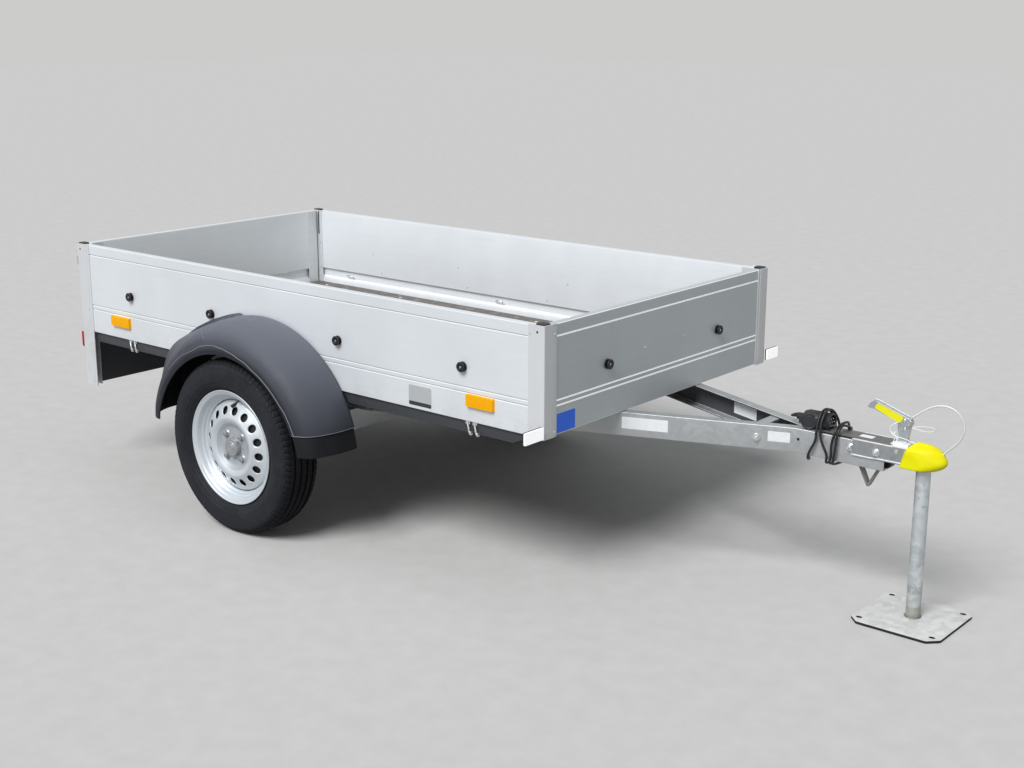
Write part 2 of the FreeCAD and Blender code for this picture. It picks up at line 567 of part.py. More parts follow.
for side, sign in (("right", -1), ("left", 1)):
    guard_at = (DIM["axle_x"] + DIM["guard_x"], 0, DIM["wheel_z"] + DIM["guard_z"])
    keep(feature(f"mudguard_{side}", mudguard_shape(sign), guard_at), f"mudguard_{side}")
stays = []
for index, x in enumerate((-322, 280)):
    for side, y in (("right", "-578"), ("left", "Dims.rail_outer")):
        stays.append(block(f"stay_{side}_{index}", ("30", "578 - Dims.rail_outer", "30"),
                           (f"Dims.axle_x + {x}", y, "Dims.rail_foot + 2")))
keep(gather("mudguard_stays", stays), "mudguard_stays")

# Rear lamp panel and lamps
keep(block("lamp_panel", ("Dims.panel_gauge", f"2 * ({inner_y} - 2)", "Dims.panel_top - Dims.panel_foot"),
           ("0", f"-({inner_y} - 2)", "Dims.panel_foot")), "lamp_panel")
for side, y in (("right", "-(Dims.lamp_inner + Dims.lamp_width)"), ("left", "Dims.lamp_inner")):
    lamp = block(f"lamp_{side}_block", ("Dims.lamp_depth", "Dims.lamp_width", "Dims.lamp_height"),
                 ("-Dims.lamp_depth", y, "Dims.lamp_foot"))
    doc.recompute()
    rear_face = lamp.Shape.BoundBox.XMin
    rear_edges = [index for index, edge in enumerate(lamp.Shape.Edges, start=1)
                  if edge.BoundBox.XMax < rear_face + 1]
    rounded = doc.addObject("Part::Fillet", f"lamp_{side}_rounded")
    rounded.Base = lamp
    rounded.Edges = [(index, 6, 6) for index in rear_edges]
    keep(rounded, f"tail_lamp_{side}")

# Side markers, and the front reflectors on their arms
markers = []
for index, (x, z) in enumerate(((181, 522), (1831, 525))):
    for side, y in (("right", f"-({outer_y} + 10)"), ("left", outer_y)):
        markers.append(block(f"marker_{side}_{index}", ("102", "10", "36"), (str(x), y, str(z))))
keep(gather("side_markers", markers), "side_markers")
faces = []
arms = []
for side, face_y, arm_y in (("right", "-660", "-655"), ("left", "582", "545")):
    arms.append(block(f"reflector_arm_{side}", ("3", "110", "16"), ("Dims.box_length", arm_y, "492")))
    faces.append(block(f"reflector_face_{side}", ("8", "78", "39"), ("Dims.box_length + 3", face_y, "481")))
keep(gather("front_reflectors", faces), "front_reflectors")
keep(gather("reflector_arms", arms), "reflector_arms")


# Tarpaulin buttons
def button(name, at, turn, axis):
    """Mushroom button: stem and round head along local Z."""
    stem = rod(name + "_stem", "Dims.button_radius * 0.55", "Dims.button_height - 6", at, turn, axis)
    rise = FreeCAD.Rotation(Vec(*axis), turn).multVec(Vec(0, 0, DIM["button_height"] - 7))
    raised = [f"{start} + {step:.3f}" for start, step in zip(at, rise)]
    head = rod(name + "_head", "Dims.button_radius", "7", raised, turn, axis)
    return fuse(name, [stem, head])


buttons = []
gate_buttons = []
for index, x in enumerate((293, 724, 1316, 1817)):
    buttons.append(button(f"button_right_{index}", (str(x), f"-{outer_y}", "Dims.button_z"), 90, (1, 0, 0)))
    buttons.append(button(f"button_left_{index}", (str(x), outer_y, "Dims.button_z"), -90, (1, 0, 0)))
for index, y in enumerate((-288, 288)):
    buttons.append(button(f"button_front_{index}", ("Dims.box_length - Dims.post_gauge", str(y), "Dims.button_z"),
                          90, (0, 1, 0)))
    gate_buttons.append(button(f"button_gate_{index}", ("0", str(y), "Dims.button_z"), -90, (0, 1, 0)))
keep(gather("cover_buttons", buttons), "cover_buttons")
keep(gather("tailgate_buttons", gate_buttons), "tailgate_buttons")

# Tailgate hinges: a fixed leaf with its pin, and a moving leaf between the knuckles
fixed_pieces = []
moving_leaves = []
for side, sign in (("right", -1), ("left", 1)):
    middle = f"{sign} * Dims.hinge_y"
    pieces = [rod(f"pin_{side}", "Dims.pin_radius", "66", ("Dims.hinge_x", f"{middle} - 33", "Dims.hinge_z"),
                  -90, (1, 0, 0)),
              block(f"leaf_{side}", ("3", "66", "40"), ("-3", f"{middle} - 33", "Dims.hinge_z - 56"))]
    for index, shift in enumerate((-33, 13)):
        pieces.append(rod(f"knuckle_{side}_{index}", "Dims.knuckle_radius", "20",
                          ("Dims.hinge_x", f"{middle} + {shift}", "Dims.hinge_z"), -90, (1, 0, 0)))
        pieces.append(block(f"upright_{side}_{index}", ("4", "20", "18"),
                            ("Dims.hinge_x - 2", f"{middle} + {shift}", "Dims.hinge_z - 20")))
        pieces.append(block(f"ledge_{side}_{index}", ("15", "20", "4"),
                            ("Dims.hinge_x - 2", f"{middle} + {shift}", "Dims.hinge_z - 20")))
    fixed_pieces.append(fuse(f"hinge_fixed_{side}", pieces))
    near = f"{middle} - 12.5"
    solid = fuse(f"hinge_solid_{side}", [
        rod(f"barrel_{side}", "Dims.knuckle_radius", "25", ("Dims.hinge_x", near, "Dims.hinge_z"), -90, (1, 0, 0)),
        block(f"tab_{side}", ("13", "25", "4"), ("Dims.hinge_x", near, "Dims.hinge_z + 2")),
        block(f"strap_{side}", ("3", "25", "60"), ("-3", near, "Dims.hinge_z + 2"))])
    eye = rod(f"eye_{side}", "Dims.pin_radius + 0.05", "30", ("Dims.hinge_x", f"{middle} - 15", "Dims.hinge_z"),
              -90, (1, 0, 0))
    moving_leaves.append(cut(f"hinge_moving_{side}", solid, eye))
keep(gather("tailgate_hinges", moving_leaves), "tailgate_hinges")

# Latches on the tailgate and their keepers on the rear posts
latches = []
for side, y, keeper_y in (("right", "-541", "-574"), ("left", "501", "550")):
    base = block(f"latch_base_{side}", ("5", "40", "80"), ("-5", y, "690"))
    lever = block(f"latch_lever_{side}", ("11", "26", "64"), ("-16", f"{y} + 7", "698"))
    latches.append(fuse(f"latch_{side}", [base, lever]))
    fixed_pieces.append(block(f"keeper_{side}", ("10", "24", "30"), ("-10", keeper_y, "715")))
keep(gather("tailgate_latches", latches), "tailgate_latches")
keep(gather("gate_fittings", fixed_pieces), "gate_fittings")

# Lashing hooks below the side walls
hooks = []
for index, x in enumerate((276, 301, 1838, 1864)):
    for side, sign in (("right", -1), ("left", 1)):
        route = [(x, sign * 567.6, 478.4), (x + 8, sign * 567.6, 462), (x + 22, sign * 572, 444),
                 (x + 34, sign * 577, 446)]
        hooks.append(feature(f"hook_{side}_{index}", bent_rod(route, 5)[0]))
keep(gather("lashing_hooks", hooks), "lashing_hooks")

# Lead: its junction box, and the plug on the nose
keep(block("junction_box", ("40", "46", "30"), ("2000", "-196", f"{bar_foot} - 30")), "junction_box")
PLUG_REAR = (2556, 0, 504)
plug_turn = doc.addObject("PartDesign::Body", "plug_turn")
plug_profile = add_sketch(plug_turn, "XZ_Plane", "plug_profile")
fill_sketch(plug_profile, [("0", "0"), ("0", "9"), ("22", "12"), ("34", "25"), ("108", "25"), ("108", "21"),
                           ("96", "21"), ("96", "0")])
plug_revolution = plug_turn.newObject("PartDesign::Revolution", "plug_revolution")
plug_revolution.Profile = plug_profile
plug_revolution.ReferenceAxis = (plug_profile, ["H_Axis"])
plug_revolution.Angle = 360
place(plug_turn, [str(number) for number in PLUG_REAR])
plug_cap = rod("plug_cap", "23", "9", ("2598", "-23", "503"), 90, (1, 0, 0))
keep(fuse("plug_fused", [plug_turn, plug_cap]), "plug")

# Turns of the lead round the nose: bottom x, middle x, top x, top z, left x
TURNS = [
    (2614, 2640, 2638, 538, 2651),
    (2670, 2656, 2648, 538, 2663),
    (2681, 2686, 2695, 509, 2691),
    (2691, 2703, 2709, 513, None),
]
lead_route = [(2040, -172, 462), (2072, -172, 462), (2118, -178, 448), (2168, -170, 430), (2228, -148, 419),
              (2295, -118, 420), (2362, -94, 416), (2418, -68, 422), (2462, -34, 415), (2502, -8, 400),
              (2545, 2, 393), (2584, -6, 392)]
for bottom_x, middle_x, top_x, top_z, left_x in TURNS:
    lead_route += [(bottom_x, -26, 394), (bottom_x + 2, -48, 412), (middle_x, -47, 452),
                   (top_x, -45, 492), (top_x + 1, -23, top_z)]
    if left_x:
        lead_route += [(top_x + 3, 21, top_z), (left_x, 45, 494), (left_x - 3, 48, 452),
                       (left_x, 48, 412), (left_x + 3, 25, 394)]
lead_route += [(2716, 18, 510), (2712, 48, 494), (2694, 60, 478), (2650, 61, 474), (2602, 57, 483),
               (2560, 53, 498), (2532, 48, 504), (2518, 34, 504), (2518, 14, 504), (2532, 0, 504), PLUG_REAR]

# The safety cable meets the handle and the soft cover square to their faces.
safety_route = [(2886, 0, 555), (2905, 0, 563), (2921, 0, 586), (2943, 0, 601), (2968, 0, 608), (2994, 0, 607),
                (3017, 0, 596), (3033, 0, 576), (3038, 0, 550), (3030, 0, 525), (3012, 0, 504),
                (2993.5, 0, 486), (2984.5, 0, 474.6)]

# Cords: name, diameter, route
CORDS = [("lighting_lead", 7, lead_route), ("safety_cable", 5, safety_route)]
for label, diameter, route in CORDS:
    shape, length, radii = bent_rod(route, diameter)
    expected = length * math.pi * diameter ** 2 / 4
    print(label, "length", round(length), "volume ratio", round(shape.Volume / expected, 4),
          "radii", [round(radius) for radius in radii])
    keep(feature(label, shape), label)

doc.recompute()
problems = [obj.Name for obj in doc.Objects if "Invalid" in obj.State or "Error" in obj.State]
for part in PARTS:
    if part.Shape.isNull() or not part.Shape.isValid():
        problems.append(part.Label)
if problems:
    raise SystemExit("failed: " + ", ".join(problems))
for part in PARTS:
    part.Shape.exportStep(f"parts/{part.Label}.step")
print(len(PARTS), "parts written")
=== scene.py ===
import math

import bmesh
import bpy
from mathutils import Matrix, Vector


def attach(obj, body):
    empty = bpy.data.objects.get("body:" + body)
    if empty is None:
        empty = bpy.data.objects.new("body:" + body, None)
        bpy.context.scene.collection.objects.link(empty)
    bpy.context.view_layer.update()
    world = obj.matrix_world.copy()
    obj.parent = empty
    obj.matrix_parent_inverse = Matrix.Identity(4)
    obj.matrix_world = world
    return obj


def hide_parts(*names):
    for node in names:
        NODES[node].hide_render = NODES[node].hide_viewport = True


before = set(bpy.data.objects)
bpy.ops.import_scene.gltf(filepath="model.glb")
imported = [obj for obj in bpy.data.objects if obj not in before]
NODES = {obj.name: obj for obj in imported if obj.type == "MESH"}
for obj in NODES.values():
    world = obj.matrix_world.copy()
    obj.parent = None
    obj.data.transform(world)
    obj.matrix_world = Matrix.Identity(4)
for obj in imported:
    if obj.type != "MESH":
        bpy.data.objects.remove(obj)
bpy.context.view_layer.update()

MM = 0.001
ORIGIN_X = 1520.0
SIDES = {-1: "right", 1: "left"}
# Widths of the walls' outer and inner faces and of the posts, then stations at the ends of the box
OUTER_Y, INNER_Y, POST_Y = 573, 548, 577
FRONT_X, FRONT_INNER, REAR_INNER = 2106, 2081, 25
WALL_FOOT = 480
WHEEL_X, WHEEL_Y, WHEEL_Z = 1004, 694, 279
PLUG_X, PLUG_Z = 2556, 504
STAND_X = 2935


def at(x, y, z):
    """Point in metres from a station, a width and a height in millimetres."""
    return Vector(((x - ORIGIN_X) * MM, y * MM, z * MM))


# Camera from the photograph's perspective
FOCAL_PIXELS, PHOTO_WIDTH = 1466.81, 1024.0


def make_camera():
    azimuth, elevation, roll = (math.radians(angle) for angle in (39.7972, 14.7392, 0.0839))
    forward = Vector((-math.sin(azimuth) * math.cos(elevation), math.cos(azimuth) * math.cos(elevation),
                      -math.sin(elevation)))
    right = Vector((math.cos(azimuth), math.sin(azimuth), 0))
    up = right.cross(forward)
    level_right = math.cos(roll) * right + math.sin(roll) * up
    level_up = -math.sin(roll) * right + math.cos(roll) * up
    data = bpy.data.cameras.new("camera")
    data.sensor_width = 36.0
    data.lens = FOCAL_PIXELS * data.sensor_width / PHOTO_WIDTH
    data.clip_start, data.clip_end = 0.05, 200.0
    camera = bpy.data.objects.new("camera", data)
    turn = Matrix((level_right, level_up, -forward)).transposed().to_4x4()
    camera.matrix_world = Matrix.Translation((2.9420, -3.5344, 1.6294)) @ turn
    bpy.context.scene.collection.objects.link(camera)
    bpy.context.scene.camera = camera


make_camera()


# Materials
class Shader:
    """Small helper that grows a node tree round one Principled shader."""

    def __init__(self, name, rough=0.5, metal=0, coat=0, specular=0.5, stretch=(1, 1, 1)):
        self.material = bpy.data.materials.new(name)
        self.material.use_nodes = True
        self.tree = self.material.node_tree
        self.main = self.tree.nodes["Principled BSDF"]
        self.main.inputs["Roughness"].default_value = rough
        self.main.inputs["Metallic"].default_value = metal
        self.main.inputs["Coat Weight"].default_value = coat
        self.main.inputs["Specular IOR Level"].default_value = specular
        self.rough = rough
        coordinates = self.node("ShaderNodeTexCoord")
        mapping = self.node("ShaderNodeMapping")
        mapping.inputs["Scale"].default_value = stretch
        self.link(coordinates.outputs["Object"], mapping.inputs["Vector"])
        self.plain = coordinates.outputs["Object"]
        self.where = mapping.outputs["Vector"]
        self.normal = None

    def node(self, kind, **settings):
        made = self.tree.nodes.new(kind)
        for key, value in settings.items():
            setattr(made, key, value)
        return made

    def link(self, start, end):
        self.tree.links.new(start, end)

    def noise(self, scale, detail=4, where=None, distortion=0, rough=0.55):
        made = self.node("ShaderNodeTexNoise")
        made.inputs["Scale"].default_value = scale
        made.inputs["Detail"].default_value = detail
        made.inputs["Roughness"].default_value = rough
        made.inputs["Distortion"].default_value = distortion
        self.link(where or self.where, made.inputs["Vector"])
        return made.outputs["Fac"]

    def cells(self, scale, output="Color", where=None, randomness=1):
        made = self.node("ShaderNodeTexVoronoi")
        made.inputs["Scale"].default_value = scale
        made.inputs["Randomness"].default_value = randomness
        self.link(where or self.where, made.inputs["Vector"])
        return made.outputs[output]

    def levels(self, value, low, high, out_low=0, out_high=1):
        made = self.node("ShaderNodeMapRange")
        for name, number in (("From Min", low), ("From Max", high), ("To Min", out_low), ("To Max", out_high)):
            made.inputs[name].default_value = number
        self.link(value, made.inputs["Value"])
        return made.outputs["Result"]

    def mix(self, factor, first, second):
        made = self.node("ShaderNodeMix", data_type="RGBA")
        self.link(factor, made.inputs[0])
        for socket, value in ((made.inputs[6], first), (made.inputs[7], second)):
            if isinstance(value, tuple):
                socket.default_value = (*value, 1)
            else:
                self.link(value, socket)
        return made.outputs[2]

    def tones(self, factor, low, high, first, second):
        """Start the colour with a mix of two tones."""
        self.base = self.mix(self.levels(factor, low, high), first, second)

    def layer(self, factor, low, high, amount, over):
        """Lay a further tone over the colour where the factor is high."""
        self.base = self.mix(self.levels(factor, low, high, 0, amount), self.base, over)

    def colour(self):
        self.link(self.base, self.main.inputs["Base Color"])

    def roughness(self, value, spread):
        self.link(self.levels(value, 0.25, 0.75, max(0.04, self.rough - spread), min(1, self.rough + spread)),
                  self.main.inputs["Roughness"])

    def bump(self, height, strength, distance):
        made = self.node("ShaderNodeBump")
        made.inputs["Strength"].default_value = strength
        made.inputs["Distance"].default_value = distance
        self.link(height, made.inputs["Height"])
        if self.normal:
            self.link(self.normal, made.inputs["Normal"])
        self.normal = made.outputs["Normal"]
        self.link(self.normal, self.main.inputs["Normal"])

    def height(self):
        """Height above the ground at rest, in metres."""
        split = self.node("ShaderNodeSeparateXYZ")
        self.link(self.plain, split.inputs[0])
        return split.outputs["Z"]


def shade(colour, factor):
    return tuple(min(1, channel * factor) for channel in colour)


def aluminium(name, colour, stretch, rough=0.42, metal=0.55):
    """Rolled or extruded aluminium: fine lines along its length, faint clouds and handling marks."""
    s = Shader(name, rough, metal, stretch=stretch)
    lines = s.noise(260, 3)
    clouds = s.noise(3.2, 5, s.plain, 0.6)
    marks = s.noise(48, 8, s.plain, 1.5, 0.7)
    s.tones(clouds, 0.3, 0.7, shade(colour, 0.955), shade(colour, 1.03))
    s.layer(lines, 0.35, 0.7, 0.35, shade(colour, 0.90))
    s.layer(marks, 0.66, 0.78, 0.35, shade(colour, 0.84))
    low = s.levels(s.height(), 0.54, 0.46, 0, 0.22)
    dirt = s.noise(22, 7, s.plain, 0.4, 0.65)
    blend = s.node("ShaderNodeMath", operation="MULTIPLY")
    s.link(low, blend.inputs[0])
    s.link(s.levels(dirt, 0.42, 0.62), blend.inputs[1])
    s.base = s.mix(blend.outputs[0], s.base, (0.46, 0.44, 0.41))
    s.colour()
    s.roughness(s.noise(14, 6, s.plain), 0.07)
    s.bump(lines, 0.10, 0.0002)
    s.bump(clouds, 0.05, 0.0012)
    return s.material


def galvanised(name, colour, rough=0.46, metal=0.75, scale=95, contrast=0.10, stain=0.25):
    """Hot-dip zinc: crystal spangle in two sizes, runs and a dull bloom."""
    s = Shader(name, rough, metal)
    warp = s.noise(30, 3)
    shift = s.node("ShaderNodeVectorMath", operation="SCALE")
    shift.inputs["Scale"].default_value = 0.012
    s.link(warp, shift.inputs[0])
    moved = s.node("ShaderNodeVectorMath", operation="ADD")
    s.link(s.where, moved.inputs[0])
    s.link(shift.outputs[0], moved.inputs[1])
    grey = []
    for size in (scale, scale * 2.7):
        flat = s.node("ShaderNodeRGBToBW")
        s.link(s.cells(size, where=moved.outputs[0]), flat.inputs[0])
        grey.append(flat.outputs[0])
    s.tones(grey[0], 0.2, 0.8, shade(colour, 1 - contrast), shade(colour, 1 + contrast))
    s.layer(grey[1], 0.3, 0.9, 0.45, shade(colour, 1 + 0.6 * contrast))
    s.layer(s.noise(7, 6, s.plain, 0.8), 0.45, 0.72, stain, shade(colour, 1.16))
    s.layer(s.noise(120, 5, s.plain, 0.2, 0.7), 0.66, 0.74, 0.5, shade(colour, 0.66))
    s.colour()
    s.roughness(grey[0], 0.09)
    s.bump(grey[0], 0.10, 0.0005)
    s.bump(s.noise(160, 4, s.plain), 0.10, 0.0004)
    return s.material


def zinc(name, colour, rough=0.30, metal=0.9):
    """Bright plated fittings with a faint haze."""
    s = Shader(name, rough, metal)
    haze = s.noise(60, 5)
    s.tones(haze, 0.35, 0.7, shade(colour, 0.90), shade(colour, 1.06))
    s.layer(s.noise(260, 3), 0.62, 0.75, 0.5, shade(colour, 0.70))
    s.colour()
    s.roughness(haze, 0.10)
    s.bump(s.noise(420, 3), 0.10, 0.0002)
    return s.material


def paint(name, colour, rough=0.36):
    """Silver wheel paint: flake sparkle, orange peel and darker clouds at random."""
    s = Shader(name, rough, 0.45, coat=0.15)
    flakes = s.node("ShaderNodeRGBToBW")
    s.link(s.cells(2600), flakes.inputs[0])
    clouds = s.noise(18, 5)
    s.tones(flakes.outputs[0], 0.2, 0.8, shade(colour, 0.94), shade(colour, 1.05))
    s.layer(clouds, 0.5, 0.75, 0.35, shade(colour, 0.86))
    s.colour()
    s.roughness(clouds, 0.07)
    s.bump(s.noise(380, 3), 0.06, 0.0003)
    s.bump(clouds, 0.05, 0.0010)
    return s.material


def plastic(name, colour, rough=0.55, grain=1500, depth=0.22, scuff=0.25, coat=0, specular=0.45, painted_sheen=0):
    """Moulded plastic with leather grain, slight tone changes, pale scuffs, and a painted sheen where it faces up."""
    s = Shader(name, rough, 0, coat=coat, specular=specular)
    pits = s.cells(grain, output="Distance")
    clouds = s.noise(9, 5, distortion=0.5)
    s.tones(clouds, 0.3, 0.7, shade(colour, 0.86), shade(colour, 1.18))
    scuffs = s.noise(34, 9, distortion=1.2, rough=0.72)
    if painted_sheen:
        # Painted sheen: a paler, bluer tone on faces that point up, standing in for reflected sky
        facing = s.node("ShaderNodeSeparateXYZ")
        s.link(s.node("ShaderNodeNewGeometry").outputs["Normal"], facing.inputs[0])
        s.layer(facing.outputs["Z"], 0.12, 1, painted_sheen, (0.155, 0.164, 0.195))
    s.layer(scuffs, 0.66, 0.80, scuff, (0.30, 0.30, 0.30))
    s.colour()
    s.roughness(s.noise(28, 5), 0.08)
    s.bump(pits, depth, 0.0003)
    return s.material


def rubber(name, colour, rough=0.62, dust=0.4):
    """Tyre rubber: mould grain and a dusty bloom."""
    s = Shader(name, rough, 0, specular=0.13)
    clouds = s.noise(16, 6, distortion=0.6)
    s.tones(clouds, 0.3, 0.7, shade(colour, 0.80), shade(colour, 1.35))
    grit = s.noise(95, 8, rough=0.7)
    s.layer(grit, 0.52, 0.70, dust, (0.16, 0.15, 0.14))
    s.colour()
    s.roughness(clouds, 0.10)
    s.bump(s.noise(900, 4), 0.16, 0.0003)
    s.bump(grit, 0.08, 0.0006)
    return s.material


def lens(name, colour, pitch=380, rough=0.16):
    """Reflector lens: clear skin over a field of small prisms."""
    s = Shader(name, rough, 0, coat=0.05, specular=0.12)
    prisms = s.cells(pitch, output="Distance", randomness=0.15)
    s.tones(prisms, 0.05, 0.75, shade(colour, 1.22), shade(colour, 0.72))
    s.colour()
    s.bump(prisms, 0.35, 0.0007)
    s.main.inputs["Coat Roughness"].default_value = 0.05
    s.main.inputs["Subsurface Weight"].default_value = 0.12
    s.main.inputs["Subsurface Radius"].default_value = (0.004, 0.002, 0.001)
    return s.material


def film(name, colour, rough=0.4):
    """Printed or plain self-adhesive film with slight lifting and dirt."""
    s = Shader(name, rough, 0, coat=0.1)
    clouds = s.noise(70, 6)
    s.base = shade(colour, 1)
    s.layer(clouds, 0.5, 0.75, 0.6, shade(colour, 0.86))
    s.colour()
    s.roughness(clouds, 0.08)
    s.bump(s.noise(90, 3), 0.08, 0.0004)
    return s.material


def plywood(name, colour):
    """Film-faced plywood: dark skin with a fine mesh print, worn and dusty."""
    s = Shader(name, 0.58)
    weave = s.node("ShaderNodeTexBrick")
    for key, value in (("Scale", 160), ("Mortar Size", 0.12), ("Brick Width", 0.5), ("Row Height", 0.5)):
        weave.inputs[key].default_value = value
    weave.offset = 0.5
    s.link(s.where, weave.inputs["Vector"])
    clouds = s.noise(6, 7, distortion=0.7)
    s.tones(clouds, 0.3, 0.7, shade(colour, 0.85), shade(colour, 1.25))
    s.layer(s.noise(26, 8, rough=0.7), 0.50, 0.72, 0.5, (0.42, 0.40, 0.37))
    s.colour()
    s.roughness(clouds, 0.12)
    s.bump(weave.outputs["Fac"], 0.35, 0.0005)
    return s.material


def seen_ray(tree):
    """One where a ray shows the surface, directly, mirrored or through a lens, and zero where it only lights."""
    path = tree.nodes.new("ShaderNodeLightPath")
    seen = path.outputs["Is Camera Ray"]
    for ray in ("Is Glossy Ray", "Is Transmission Ray"):
        either = tree.nodes.new("ShaderNodeMath")
        either.operation = "MAXIMUM"
        tree.links.new(seen, either.inputs[0])
        tree.links.new(path.outputs[ray], either.inputs[1])
        seen = either.outputs[0]
    return seen


def plain_floor():
    """Pale floor that throws little light back up, so that the underside stays in shade."""
    s = Shader("studio_floor", 0.9, specular=0.1)
    seen = seen_ray(s.tree)
    s.tones(s.noise(14, 8), 0.3, 0.7, (0.572, 0.556, 0.535), (0.612, 0.596, 0.574))
    s.base = s.mix(seen, (0.20, 0.20, 0.20), s.base)
    s.colour()
    return s.material


WALL_LONG = aluminium("aluminium_long", (0.84, 0.865, 0.885), (0.02, 1, 1), 0.5, 0.25)
WALL_CROSS = aluminium("aluminium_cross", (0.84, 0.87, 0.885), (1, 0.02, 1), 0.5, 0.25)
# Darker copy of the wall aluminium: painted shade for the front wall, which faces away from the sun
WALL_FRONT_SHADE = aluminium("aluminium_front_shade", (0.60, 0.64, 0.65), (1, 0.02, 1), 0.5, 0.25)
# Near-white paint that glows: painted highlight for up-facing groove chamfers and the inner ledge
GROOVE_HIGHLIGHT = paint("groove_painted_highlight", (0.96, 0.965, 0.97), 0.6)
# Darker aluminium: painted shade inside the side walls' grooves
GROOVE_SHADE = aluminium("aluminium_groove_shade", (0.50, 0.52, 0.535), (1, 1, 1), 0.5, 0.2)
POST = aluminium("aluminium_post", (0.765, 0.77, 0.775), (1, 1, 0.02), 0.5, 0.25)
GALV = galvanised("galvanised_steel", (0.47, 0.485, 0.488), 0.48, 0.6, 95, 0.045, 0.2)
GALV_FRAME = galvanised("galvanised_frame", (0.46, 0.47, 0.475), 0.50, 0.6, 70, 0.06, 0.2)
GALV_STAND = galvanised("galvanised_stand", (0.58, 0.61, 0.62), 0.52, 0.65, 60, 0.16, 0.5)
STAIN_LOW = galvanised("stand_stain_low", (0.48, 0.495, 0.49), 0.55, 0.5, 60, 0.16, 0.6)
STAIN_FOOT = galvanised("stand_stain_foot", (0.36, 0.355, 0.32), 0.6, 0.3, 60, 0.20, 0.8)
GALV_PLATE = galvanised("galvanised_plate", (0.70, 0.70, 0.675), 0.62, 0.4, 45, 0.08, 0.6)
ZINC = zinc("zinc_plate", (0.72, 0.725, 0.73))
FOOT_STEEL = galvanised("foot_steel", (0.22, 0.22, 0.21), 0.5, 0.4, 70, 0.08, 0.2)
GALV_HEAD = galvanised("head_steel", (0.34, 0.35, 0.355), 0.48, 0.5, 80, 0.06, 0.15)
LEVER_ZINC = zinc("zinc_lever", (0.42, 0.44, 0.46), 0.45, 0.35)
ZINC_DULL = zinc("zinc_dull", (0.60, 0.61, 0.62), 0.42, 0.75)
HUB = zinc("hub_steel", (0.40, 0.41, 0.42), 0.42, 0.55)
# Darker copy of the rim paint: painted shade for the hub recess
RIM_RECESS_SHADE = paint("rim_silver_recess_shade", (0.49, 0.52, 0.55), 0.45)
RIM = paint("rim_silver", (0.66, 0.70, 0.73), 0.42)
TYRE = rubber("tyre_rubber", (0.0205, 0.021, 0.0255), 0.6, 0.10)
TREAD = rubber("tread_rubber", (0.0095, 0.0098, 0.0118), 0.66, 0.06)
# Guard plastic: its last argument lays a painted sheen on faces that point up
GUARD = plastic("guard_plastic", (0.017, 0.0185, 0.0245), 0.56, 1300, 0.16, 0.10, 0, 0.22, 0.95)
FLAP = plastic("guard_flap", (0.007, 0.0075, 0.010), 0.6, 1300, 0.12, 0.05, 0, 0.25)
GUARD_SEAM = plastic("guard_seam", (0.085, 0.088, 0.095), 0.5, 1300, 0.10, 0.10)
# Paler copy of the guard plastic: painted highlight along the crease and the edge over the flap
GUARD_HIGHLIGHT = plastic("guard_edge_highlight", (0.19, 0.195, 0.205), 0.42, 1300, 0.10, 0.10)
# Near-black copy of the frame zinc: painted shade for the side rails, the inner faces of the drawbar channels and the
# lamp panel's forward face
SHADE_GREY = galvanised("painted_shade_grey", (0.055, 0.057, 0.062), 0.6, 0.1, 70, 0.06, 0.05)
# Pale copy of the drawbar zinc: painted highlight for up-facing edges and bright edge lines
BAR_HIGHLIGHT = galvanised("drawbar_highlight", (0.80, 0.815, 0.82), 0.42, 0.4, 95, 0.03, 0.2)
KNOB_BLACK = plastic("knob_black", (0.009, 0.009, 0.0105), 0.42, 2200, 0.12, 0.05)
BLACK = plastic("black_plastic", (0.025, 0.0255, 0.029), 0.42, 2200, 0.12, 0.12)
CABLE = plastic("cable_jacket", (0.014, 0.014, 0.015), 0.40, 2600, 0.06, 0.10)
WIRE = plastic("wire_coat", (0.74, 0.76, 0.76), 0.34, 3000, 0.05, 0, 0.2)
YELLOW = plastic("yellow_rubber", (0.98, 0.86, 0.004), 0.5, 1800, 0.06, 0, 0, 0.2)
WHITE_PART = plastic("white_plastic", (0.80, 0.81, 0.80), 0.40, 2400, 0.05, 0)
AMBER = lens("amber_lens", (0.95, 0.36, 0.015))
MARKER = lens("marker_lens", (1, 0.44, 0.001))
HEAD_TOP = galvanised("head_top_sheet", (0.17, 0.165, 0.16), 0.5, 0.3, 110, 0.16, 0.3)
RED = lens("red_lens", (0.50, 0.012, 0.012), 240)
CLEAR = lens("clear_lens", (0.90, 0.90, 0.91), 300, 0.25)
FILM_BLUE = film("film_blue", (0.006, 0.11, 0.62))
SMOKE = lens("white_lamp_lens", (0.70, 0.71, 0.72), 240, 0.12)
FILM_WHITE = film("film_white", (0.93, 0.935, 0.935))
FILM_GREY = film("film_grey", (0.50, 0.51, 0.51), 0.32)
FILM_BLACK = film("film_black", (0.03, 0.03, 0.032), 0.35)
FILM_YELLOW = film("film_yellow", (0.96, 0.88, 0.01))
WOOD = plywood("floor_board", (0.105, 0.088, 0.074))
# Near-black: painted shade for holes, gaps and hollows, and for faces in shadow
SHADE_BLACK = plastic("painted_shade_black", (0.012, 0.012, 0.013), 0.8, 900, 0.1, 0)
# Painted light: these faces glow though they are no lamps, standing in for the daylight that they catch and send back
for material, glow, strength in ((MARKER, (1, 0.40, 0), 0.22), (FILM_BLUE, (0.001, 0.07, 0.50), 0.3),
                                 (GROOVE_HIGHLIGHT, (1, 1, 1), 0.2), (CLEAR, (1, 1, 1), 0.62)):
    main = material.node_tree.nodes["Principled BSDF"]
    main.inputs["Emission Color"].default_value = (*glow, 1)
    main.inputs["Emission Strength"].default_value = strength


